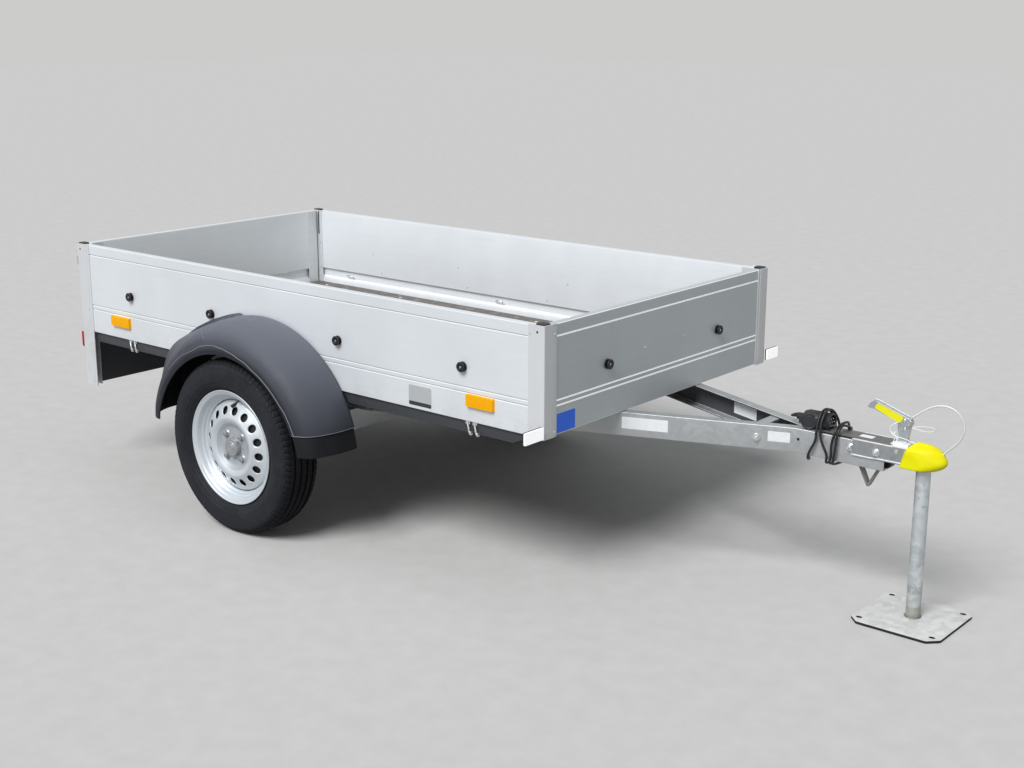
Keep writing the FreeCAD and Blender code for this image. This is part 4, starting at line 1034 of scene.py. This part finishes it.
def guard_spot(side, row, angle, lift=0):
    """Point of the guard's skin at a section row and an angle in degrees, lifted off it if asked."""
    width, radius, off_x, off_z = row
    turn = math.radians(angle)
    outward = soft_step(width, 764.5, 690)
    boxy = between(BOXY, angle) * soft_step(width, 736, 650) + between(TRIM, angle)
    raised = 2.4 * soft_step(between(RIB_EDGE, width) - angle, -0.4, 0.4) * soft_step(width, 756, 748)
    rib = between(RIB, angle) * soft_step(width, 606, 601)
    reach = radius + boxy + raised + rib + lift * outward
    z = WHEEL_Z + off_z + reach * math.cos(turn)
    x = WHEEL_X + off_x + reach * math.sin(turn)
    if angle > 0:
        flap = soft_step(z, 377.5, 374.5)
        x -= 5.0 * flap * outward
        width -= 4.0 * flap * (1 - outward)
    return x, side * (width + lift * (1 - outward)), z


GUARD_FINE = [tuple(row) for row in smooth_line(GUARD_ROWS, lambda span: max(1, min(8, round(span / 4))))]


def relaxed(line, rounds):
    """Line of points averaged with their neighbours, its ends kept."""
    for _ in range(rounds):
        line = [line[0]] + [tuple((a + 2 * b + c) / 4 for a, b, c in zip(*three))
                            for three in zip(line, line[1:], line[2:])] + [line[-1]]
    return line


def guard_end(row, floor_z):
    """Angle at which a row reaches a height above the ground."""
    return math.degrees(math.acos((floor_z - WHEEL_Z - row[3]) / row[1]))


def mudguard(side):
    name = SIDES[side]
    build = Build()
    rows = []
    for row in GUARD_FINE:
        rear, front = -guard_end(row, 313), guard_end(row, 314)
        crease_z = guard_end(row, 376)
        stops = [rear + (-30 - rear) * k / 44 for k in range(44)] + [-30 + 0.4 * k for k in range(40)]
        stops += [-14 + (crease_z - 1.2 + 14) * k / 70 for k in range(70)]
        stops += [crease_z - 1.2 + 2.4 * k / 8 for k in range(8)]
        stops += [crease_z + 1.2 + (front - crease_z - 1.2) * k / 8 for k in range(9)]
        rows.append([guard_spot(side, row, angle) for angle in stops])
    build.grid(rows, 0, 3.2)
    line = []
    for k in range(80):
        angle = -48 + 114.5 * k / 79
        radius = between(CREASE, angle)
        best = min(GUARD_FINE[8:], key=lambda row: abs(
            math.dist(guard_spot(side, row, angle)[::2], (WHEEL_X, WHEEL_Z)) - radius))
        line.append(guard_spot(side, best, angle, 0.4))
    # Crease bead in the paler plastic: painted highlight
    build.tube(relaxed(line, 3), 1.5, 8, 1, 1)
    for path in ([(606, -16), (616, -21), (640, -25), (672, -25.5), (700, -23), (730, -17.5), (752, -13)],
                 [(600, -59), (640, -53), (690, -46), (730, -40), (756, -38)]):
        line = []
        for k in range(len(path) * 6 - 5):
            start, end = path[k // 6], path[min(k // 6 + 1, len(path) - 1)]
            width, angle = (first + (last - first) * (k % 6) / 6 for first, last in zip(start, end))
            row = min(GUARD_FINE, key=lambda item: abs(item[0] - width))
            line.append(guard_spot(side, row, angle, 0.2))
        build.tube(relaxed(line, 3), 1, 8, 3, 1)
    # Bead along the edge over the flap, in the paler plastic: painted highlight
    line = [guard_spot(side, row, guard_end(row, 377.6), 0.1) for row in GUARD_FINE[3:-1]]
    build.tube(relaxed(line, 1), 1, 8, 1, 1)
    piece = build.finish(f"mudguard_{name}_skin", [GUARD, GUARD_HIGHLIGHT, FLAP, GUARD_SEAM], "guard_plastic",
                         [f"mudguard_{name}"], 35)
    recolour(piece, 2, lambda face: face.center.z < 375.2 * MM and face.center.x > at(WHEEL_X, 0, 0).x)


for side in SIDES:
    mudguard(side)

# Coupling head: rounded body with a painted highlight on its up-facing faces, lower lip and top beads in the highlight
# paint, top sheet, bolts and rivets
piece = softened("coupling_head", [GALV_HEAD, BAR_HIGHLIGHT], "zinc_steel", width=2.4, segments=3)
# Painted highlight on the head's up-facing faces
recolour(piece, 1, lambda face: face.normal.z > 0.45)
build = Build()
# Lower lip and top-edge beads in the pale highlight paint: painted highlight lines
for side in SIDES:
    build.tube([(2744, side * 38.4, 439), (2800, side * 38.6, 439), (2812, side * 38.6, 440.5),
                (2860, side * 38.4, 441), (2888, side * 38.2, 441)], 2.3, 10, 0, 4)
    build.tube([(2743, side * 37.4, 482), (2800, side * 37.4, 482), (2860, side * 37.4, 482)], 1.6, 10, 1, 1)
build.prism(rounded(rect(2640, -31, 2852, 31), 4), "z", 482.8, 483.8, 2, 0.3, 1)
build.finish("head_lips", [BAR_HIGHLIGHT, BAR_HIGHLIGHT, HEAD_TOP], "zinc_steel")

build = Build()
for side in (-1, 1):
    for x, y in ((2737, 35), (2814, 38.4)):
        build.bolt((x, side * y, 457), (0, side, 0), 15, 6.5, 11)
        build.rod((x, side * 40, 457), (x, side * 52.5, 457), 3.6, 16, 0, 0.8)
    build.rivet((2871, side * 38.4, 471), (0, side, 0), 6.5, 2.2, 0, 20)
    build.bolt((2469, side * 75, 442), (0.356, side * 0.934, 0), 15, 6, 11.5)
    build.rod((2471, side * 79, 442), (2474.6, side * 87, 442), 3.8, 16, 0, 0.8)
    # Near-black disc on each side of the nose: painted shade
    build.lathe([(0, 4.4), (0.3, 4.2), (0.3, 0)], (2579.5, side * 35.2, 448), (0, side, 0), 20, 1)
build.finish("drawbar_bolts", [ZINC, SHADE_BLACK], "zinc_steel")

# Coupling handle: folded channel lever on an upright plate
build = Build()
UPRIGHT = [(2864, 482), (2885, 482), (2886, 500), (2889, 520), (2894, 538), (2895, 550), (2890, 558), (2880, 561),
           (2864, 557), (2856, 545), (2855, 528), (2860, 506)]
LEVER = [(2768, 572), (2773, 583), (2784, 589.5), (2798, 587), (2872, 562), (2884, 557.5), (2893.5, 551), (2894.5, 542),
         (2886, 531), (2872, 534), (2862, 541), (2838, 550), (2813, 558), (2786, 567.5), (2774, 567.5)][::-1]
for side in (-1, 1):
    build.prism(rounded(UPRIGHT, 5), "y", side * 3.2, side * 5.6, 0, 0.5, 1)
    build.prism(rounded(LEVER, 6), "y", side * 5.8, side * 8, 0, 0.6, 1)
    build.rivet((2875, side * 8, 551), (0, side, 0), 5.6, 2.6, 2, 20)
    build.rivet((2876, side * 5.6, 527), (0, side, 0), 4.4, 2.2, 2, 20)
    build.rivet((2887, side * 7.9, 540), (0, side, 0), 2.2, 1.2, 2, 16)
# Beads along the lever's top edges, the front strip of the upright and the cross bead are in the highlight paint:
# painted highlight lines
build.tube([(x, 7.6, z + 0.6) for x, z in ((2770, 583), (2777, 588), (2784, 590), (2798, 587.4), (2872, 562.4),
                                           (2884, 558), (2891, 553))], 1.5, 8, 1, 3)
build.tube([(x, -7.8, z) for x, z in ((2768.6, 573), (2773.6, 582.6), (2784, 589))], 1.1, 8, 1, 3)
build.prism([(2885, 482), (2886, 500), (2889, 520), (2894, 538), (2895.5, 550), (2893, 550), (2891.5, 538),
             (2886.5, 520), (2883.5, 500), (2882.5, 482)], "y", -3.3, 3.3, 1, 0.3, 1)
web = ((2895.5, 542), (2894.5, 551), (2885, 558.4), (2872, 563), (2798, 588), (2784, 590.2), (2772.5, 583.5),
       (2767.5, 572))
build.grid([[(x, y, z - drop) for y, drop in ((-8, 1.4), (-7.2, 0), (0, 0), (7.2, 0), (8, 1.4))] for x, z in web],
           0, 2)
build.tube([(2769, -6, 570.5), (2769, 0, 570.5), (2769, 6, 570.5)], 2.8, 12, 1, 1)
build.finish("coupling_lever", [LEVER_ZINC, BAR_HIGHLIGHT, ZINC], "zinc_steel", ["coupling_handle"])

build = Build()
LABEL = [(2797, 585.5), (2872, 560.5), (2866, 546), (2860, 542), (2835, 551), (2788, 570), (2793, 581)]
for low_y in (-8.6, 8):
    build.prism(rounded(LABEL, 4), "y", low_y, low_y + 0.6, 0, 0.1, 1)
build.finish("lever_labels", [FILM_YELLOW], "yellow_rubber")

build = Build()
build.prism(rounded([(2846, 483), (2896, 483), (2896, 488), (2880, 493), (2852, 490), (2846, 487)], 3), "y", -21, 21,
            0, 1.6, 2)
build.tube([(2860, -6, 544), (2849, -8.5, 538), (2838.5, -9, 527), (2837, -9, 517), (2845, -9, 509),
            (2855, -8.5, 503), (2858, -8.5, 495), (2855, -8.5, 488)], 1.9, 10, 0, 5)
build.tube([(2847, -8, 505), (2850, -7.5, 511), (2852, -7, 516)], 3.4, 10, 0, 3)
build.tube([(2847, -8.5, 487), (2851, -8, 496), (2857, -7.6, 502), (2879, -6.6, 500), (2896, -6, 496),
            (2911, -5, 492)], 1.3, 8, 0, 5)
build.tube([(2893, 0, 533), (2911, 0, 530), (2933, 0, 529), (2952, 0, 533), (2958, 0, 538), (2954, 0, 542.5),
            (2940, 0, 543), (2918, 0, 540), (2896, 0, 534.5)], 1.2, 8, 0, 6)
build.finish("lever_base", [WHITE_PART], "white_cable")

# Soft cover over the coupling head, in level slices: height, rear, start of nose, tip, half width
COVER = [(430, 2884.6, 2922, 2972, 41.2), (431, 2884.8, 2923, 2976, 42), (435, 2885.6, 2925, 2985, 42),
         (441, 2887.2, 2930, 2992.5, 42), (448, 2889, 2930, 2997, 42), (454, 2890.8, 2928, 2997.8, 42),
         (460, 2892.4, 2924, 2996, 42), (466, 2894, 2918, 2992.5, 42), (472, 2895.6, 2912, 2988.5, 41.8),
         (477.5, 2897.2, 2910, 2983.5, 41.2), (482, 2899.4, 2910, 2978.5, 39.8), (485, 2902, 2912, 2973.5, 37.6),
         (488, 2904.4, 2914, 2967.5, 31), (491.2, 2907.4, 2917, 2960, 23), (494.2, 2910.6, 2920, 2950, 13),
         (495.9, 2914, 2924, 2938, 4)]


build = Build()
rows = []
for height, rear, start, tip, half in COVER:
    flank = [rear + (start - rear) * k / 3 for k in range(4)]
    turns = [math.pi * k / 24 for k in range(1, 24)]
    rows.append([(x, -half, height) for x in flank]
                + [(start + (tip - start) * math.sin(a), -half * math.cos(a), height) for a in turns]
                + [(x, half, height) for x in flank[::-1]])
crown = [(x, 0, 496.1) for x, _, _ in rows[-1]]
build.grid(rows + [crown], 0, 3)
for side in SIDES:
    build.tube([(rear + 0.6, side * (half - 0.4), height) for height, rear, _, _, half in COVER], 1.7, 8, 0, 1)
build.finish("dock_cover", [YELLOW], "yellow_rubber", ["soft_dock"], 60)

# Stand
build = Build()
build.lathe([(8, 18), (8, 19.6), (8.6, 19.8), (40, 19.8), (100, 19.8), (424, 19.8), (425, 19), (425, 15.6),
             (425.6, 15), (427, 15), (428.5, 14.9), (428, 18), (431.5, 20.6), (436, 23.2), (441, 24.7),
             (445, 25), (450, 24.5), (456, 22.5), (462, 18.3), (467, 11.8), (469.4, 5.6), (470, 0)],
            (STAND_X, 0, 0), (0, 0, 1), 40)
weld = []
for k in range(73):
    angle = 2 * math.pi * k / 72
    wobble = 0.5 * math.sin(angle * 9) + 0.35 * math.sin(angle * 23 + 1)
    reach = 20.8 + 0.4 * wobble
    weld.append((STAND_X + reach * math.cos(angle), reach * math.sin(angle), 9.6 + 0.3 * wobble))
build.tube(weld, 2.6, 8, 1, 1)
piece = build.finish("stand_post", [GALV_STAND, FOOT_STEEL, STAIN_LOW, STAIN_FOOT], "galvanised_steel",
                     ["stand_tube"])
recolour(piece, 3, lambda face: face.center.z < 40 * MM)
recolour(piece, 2, lambda face: face.center.z < 100 * MM)

# Plate of the stand, with cut corners and four oval holes
low_x, high_x, half, corner, thick = STAND_X - 132, STAND_X + 125, 130, 29, 8
outline = [(low_x + corner, -half), (high_x - corner, -half), (high_x, -half + corner), (high_x, half - corner),
           (high_x - corner, half), (low_x + corner, half), (low_x, half - corner), (low_x, -half + corner)]
holes = [(STAND_X + x, y) for x in (-109, 100) for y in (-98, 101)]
part = bmesh.new()
edges = []
for loop in [rounded(outline, 5, 3)] + [[(x + 9 * c, y + 6.5 * s) for c, s in circle(20)] for x, y in holes]:
    verts = [part.verts.new(at(x, y, thick)) for x, y in loop]
    edges += [part.edges.new(pair) for pair in zip(verts, verts[1:] + verts[:1])]
bmesh.ops.triangle_fill(part, use_beauty=True, use_dissolve=False, edges=edges)
for face in part.faces:
    if face.normal.z < 0:
        face.normal_flip()
grown = bmesh.ops.extrude_face_region(part, geom=part.faces[:])
moved = [item for item in grown["geom"] if isinstance(item, bmesh.types.BMVert)]
bmesh.ops.translate(part, verts=moved, vec=(0, 0, -thick * MM))
bmesh.ops.recalc_face_normals(part, faces=part.faces[:])
build = Build()
build.take(part, 0, 0.8, 2)
for x, y in holes:
    # Near-black discs under the oval holes: painted shade
    build.lathe([(0.2, 12), (1.2, 11.6), (1.2, 0)], (x, y, 0), (0, 0, 1), 20, 1)
piece = build.finish("stand_foot_plate", [GALV_PLATE, SHADE_BLACK], "galvanised_steel", ["stand_plate"], 30)
# Painted shadow: the plate's lower side faces are near-black
recolour(piece, 1, lambda face: abs(face.normal.z) < 0.3 and face.center.z < 6.5 * MM)

# Folded foot under the nose
build = Build()
strip = [(2748, 409), (2758, 409), (2763, 396), (2781.5, 356.5), (2803, 396), (2807, 409), (2814, 409), (2808.5, 394),
         (2785.5, 350), (2783.5, 347.5), (2779.5, 347.5), (2777.5, 350), (2755.5, 394)]
build.prism(strip, "y", -8, 8, 0, 0.8, 2)
for x in (2754, 2811):
    build.plate(rect(x - 7, -14, x + 7, 14), 405, 408.2, "z", 0, 3)
build.finish("nose_foot", [FOOT_STEEL], "zinc_steel", ["drawbar_foot"])

# Plug with its strain relief, grip ribs, mouth, contacts and hinged cap
build = Build()
build.lathe([(0, 3.6), (0, 8.4), (1, 9), (6, 9.4), (7, 8.2), (9, 8.2), (10, 9.8), (15, 10.6), (16, 9.2), (18, 9.2),
             (19, 11.2), (22, 12), (24, 17.5), (25, 20.5), (27, 21.8), (32, 22.2), (34, 24.2), (36, 25), (58, 25),
             (60, 23.8), (92, 23.8), (94, 25), (106.5, 25), (108, 23.8), (108, 21.4), (106.8, 20.8), (96, 20.4),
             (96, 0)], (PLUG_X, 0, PLUG_Z), (1, 0, 0), 48)
for c, s in circle(18):
    y, z = 24 * c, PLUG_Z + 24 * s
    build.rod((2617, y, z), (2647, y, z), 1.3, 8, 0, 0.8)
for c, s in circle(6) + [(0, 0)]:
    build.lathe([(95.5, 3.4), (98.6, 3.4), (98.6, 2), (106, 2), (106.6, 1.4), (106.6, 0)],
                (PLUG_X, 12 * c, PLUG_Z + 12 * s), (1, 0, 0), 12, 1)
plug_shell = build.finish("plug_shell", [BLACK, ZINC], "black_plastic", ["plug"])

build = Build()
build.lathe([(22, 0), (22, 21.5), (23, 22.6), (30.5, 22.8), (32, 21.6), (32.4, 19.5), (31.6, 18.4), (31.6, 15.5),
             (32.4, 14.6), (32.6, 6), (32.4, 0)], (2594, 3, 502), (0.34, -0.94, 0.02), 44, 0)
build.prism(rounded(rect(2576, 496, 2590, 512), 3), "y", -29, -21.5, 0, 0.8, 1)
build.rod((2577, -26, 494), (2577, -26, 514), 3, 14)
plug_cap = build.finish("plug_cap", [BLACK], "black_plastic")

# Strain relief where the lead leaves its junction box, and the lid of the box
build = Build()
build.lathe([(0, 3.6), (0, 8), (3, 8), (3.6, 6.6), (9, 6.3), (9.6, 5.4), (12, 5.4), (12.6, 6), (15, 5.8),
             (15.6, 4.9), (18, 4.9), (18.6, 5.4), (21, 5.2), (21.6, 4.4), (26, 4.1), (27, 3.6)],
            (2039.5, -172, 462), (1, 0, -0.03), 24)
build.box((2003, -193.5, 446.6), (2037, -152.5, 448.4), 0, 0.8, 2)
for x in (2007, 2033):
    for y in (-190, -156):
        build.lathe([(0, 2.6), (1, 2.2), (0.4, 0)], (x, y, 446.6), (0, 0, -1), 12, 1)
build.finish("box_gland", [BLACK, ZINC], "black_plastic")

# Crimps at the ends of the safety cable
build = Build()
build.lathe([(-2, 0), (-2, 4.2), (-1.2, 4.8), (7, 4.8), (8, 4), (8, 2.5)], (2886, 0, 555), (0.901, 0, 0.433), 20, 0)
build.lathe([(-5, 0), (-5, 4.4), (-2, 4.2), (0, 3.4), (1.5, 2.5)], (2984.5, 0, 474.6), (0.62, 0, 0.78), 20, 1)
build.finish("cable_crimps", [ZINC, YELLOW], "zinc_steel")


# Lamps on the rear panel
def tail_lamp(side):
    """Black tub with a three part ribbed lens and its screws."""
    name, ribs = SIDES[side], 12
    build = Build()
    build.prism(rounded(rect(side * 330, 412, side * 571, 474), 5), "x", -9, 0, 0, 0.8, 2)
    for inner, outer, material in ((334, 401, 3), (402.5, 475, 2), (476.5, 571, 1)):
        build.prism(rounded(rect(side * inner, 416, side * outer, 470), 3), "x", -19.4, -8.5, material, 1.4, 3)
        for k in range(1, ribs):
            y = side * (inner + (outer - inner) * k / ribs)
            build.rod((-19.3, y, 419), (-19.3, y, 467), 0.7, 6, material, 0.4)
    for y in (368, 443, 524):
        build.lathe([(0, 3.6), (0.7, 3.4), (0.7, 1.2), (0.1, 0.8), (0.1, 0)], (-19.2, side * y, 443), (-1, 0, 0), 14, 4)
    build.finish(f"lamp_{name}_lens", [BLACK, RED, AMBER, SMOKE, ZINC], "red_lens", [f"tail_lamp_{name}"])


for side in SIDES:
    tail_lamp(side)

# Side markers and front reflectors
build = Build()
for side in SIDES:
    y = side * OUTER_Y
    for low_x, high_x, low_z, high_z in ((181, 283, 522, 558), (1833, 1933, 525, 561)):
        build.prism(rect(low_x, low_z, high_x, high_z), "y", y, y + side * 3.4, 0, 0.6, 1)
        outline = rounded(rect(low_x + 1, low_z + 1, high_x - 1, high_z - 1), 2)
        build.prism(outline, "y", y + side * 3.2, y + side * 9.9, 0, 2.4, 3)
        for k in range(1, 26):
            x = low_x + 5 + (high_x - low_x - 10) * k / 26
            build.rod((x, y + side * 9.8, low_z + 5), (x, y + side * 9.8, high_z - 5), 0.5, 6, 0, 0.3)
build.finish("marker_lenses", [MARKER], "amber_lens", ["side_markers"])

build = Build()
for side, inner, outer in ((-1, 590, 672), (1, 577, 647)):
    build.prism(rounded(rect(side * inner, 485, side * outer, 521), 4), "x", 2113, 2116.5, 1, 0.5, 1)
    build.prism(rounded(rect(side * (inner + 1), 486, side * (outer - 1), 520), 3), "x", 2116, 2121, 0, 1.2, 2)
build.finish("reflector_lenses", [CLEAR, BLACK], "clear_lens", ["front_reflectors"])


# Knobs for a cover
def knob(build, base, axis):
    build.lathe([(0, 14.4), (1.6, 14.8), (2.6, 14), (3.4, 10.6), (4.2, 8.4), (7.2, 8.2), (8, 9.8), (8.6, 13.2),
                 (9.6, 14.5), (11.6, 14.8), (13.2, 14), (14, 12.4), (14, 8.6), (13.4, 7.6), (12.2, 6.9), (12, 3.4),
                 (11.6, 3), (11.6, 0)], base, axis, 32, 0)
    build.lathe([(11.4, 3), (12.2, 2.8), (12.6, 1.8), (12.7, 0)], base, axis, 16, 1)


build = Build()
for side in SIDES:
    for x in (293, 724, 1316, 1817):
        knob(build, (x, side * OUTER_Y, 636), (0, side, 0))
for y in (-288, 288):
    knob(build, (FRONT_X, y, 636), (1, 0, 0))
build.finish("knobs", [KNOB_BLACK, ZINC], "black_plastic", ["cover_buttons"])
build = Build()
for y in (-288, 288):
    knob(build, (0, y, 636), (-1, 0, 0))
build.finish("knobs_tailgate", [KNOB_BLACK, ZINC], "black_plastic", ["tailgate_buttons"], body="tailgate")

# Lashing hooks: bent bars with rounded ends, in pairs
build = Build()
for side in SIDES:
    for x in (276, 301, 1838, 1864):
        bar = [(-9, 567.6, 478), (-7.5, 569.5, 470), (-2, 572, 458), (1, 573, 449), (5, 573.4, 446.4),
               (9, 573.6, 447.5)]
        build.tube([(x + along, side * y, z) for along, y, z in bar], 3.1, 12, 0, 5)
        build.lathe([(-3.4, 0), (-3, 4.2), (-1.4, 5.8), (1.2, 6.2), (3.4, 5.4), (4.6, 3.2), (4.8, 0)],
                    (x + 6.5, side * 573.4, 447), (0.9, 0, 0.35), 16)
        build.box((x - 17, side * 565, 470), (x - 1, side * 568.2, 479), 0, 0.5, 1)
build.finish("hook_pairs", [ZINC], "zinc_steel", ["lashing_hooks"])


# Blank plates and stickers
def sticker(name, first, second, fourth, normal, thickness, material, corner=2):
    """Thin film from its first corner to the second and fourth, raised along the normal."""
    first = Vector(first)
    across, up, normal = Vector(second) - first, Vector(fourth) - first, Vector(normal).normalized()
    outline = rounded(rect(0, 0, across.length, up.length), corner)
    rings = [[at(*(first + across.normalized() * u + up.normalized() * v + normal * lift)) for u, v in outline]
             for lift in (0, thickness)]
    Build().take(drum(rings)).finish(name, [material], "clear_lens")


# The drawbar's channels run inwards by this much for each millimetre forward
BAR_SLOPE = 0.381
for name, low_x, high_x, low_z, high_z, side, start_y, thickness in (
        ("sticker_rail_long", 2106, 2233, 430, 465, -1, 214, 0.4),
        ("sticker_rail_short", 2499, 2557, 434, 463, -1, 214, 0.4),
        ("sticker_rail_inner", 2262, 2361, 427, 472, 1, 210, 0.5)):
    low_y, high_y = (side * (start_y - BAR_SLOPE * (x - 2101)) for x in (low_x, high_x))
    sticker(name, (low_x, low_y, low_z), (high_x, high_y, low_z), (low_x, low_y, high_z), (-side * BAR_SLOPE, -1, 0),
            thickness, FILM_WHITE)
sticker("sticker_nose", (2748, -9, 483.8), (2787, -9, 483.8), (2748, 14, 483.8), (0, 0, 1), 0.3, FILM_WHITE)
sticker("plate_blue", (FRONT_X, -516, 483), (FRONT_X, -435, 483), (FRONT_X, -516, 538), (1, 0, 0), 0.5, FILM_BLUE, 1)
for name, low_x, high_x, y, low_z, high_z, thickness, material, corner in (
        ("plate_grey", 1606, 1695, -OUTER_Y, 490, 550, 0.5, FILM_GREY, 6),
        ("plate_grey_band", 1607, 1694, -OUTER_Y - 0.5, 490.5, 502, 0.15, FILM_BLACK, 3)):
    sticker(name, (low_x, y, low_z), (high_x, y, low_z), (low_x, y, high_z), (0, -1, 0), thickness, material, corner)


# Studio
def studio():
    data = bpy.data.meshes.new("studio_floor")
    data.from_pydata([(-30, -30, 0), (30, -30, 0), (30, 30, 0), (-30, 30, 0)], [], [(0, 1, 2, 3)])
    data.materials.append(plain_floor())
    floor = bpy.data.objects.new("studio_floor", data)
    bpy.context.scene.collection.objects.link(floor)
    world = bpy.data.worlds.new("studio_world")
    bpy.context.scene.world = world
    world.use_nodes = True
    tree = world.node_tree
    tree.nodes.clear()
    mixer = tree.nodes.new("ShaderNodeMixShader")
    tree.links.new(seen_ray(tree), mixer.inputs[0])
    for socket, colour, strength in ((1, (0.90, 0.95, 1), 0.33), (2, (0.602, 0.602, 0.596), 1)):
        back = tree.nodes.new("ShaderNodeBackground")
        back.inputs["Color"].default_value = (*colour, 1)
        back.inputs["Strength"].default_value = strength
        tree.links.new(back.outputs[0], mixer.inputs[socket])
    tree.links.new(mixer.outputs[0], tree.nodes.new("ShaderNodeOutputWorld").inputs[0])
    light = bpy.data.lights.new("key", "SUN")
    light.energy = 3.1
    light.angle = math.radians(30)
    light.color = (0.98, 1, 1.03)
    lamp = bpy.data.objects.new("key", light)
    lamp.location = (0.6, -2.4, 3)
    lamp.rotation_euler = Vector((-0.06, 0.665, -0.745)).to_track_quat("-Z", "Y").to_euler()
    bpy.context.scene.collection.objects.link(lamp)


studio()
bpy.context.scene.view_settings.view_transform = "Standard"
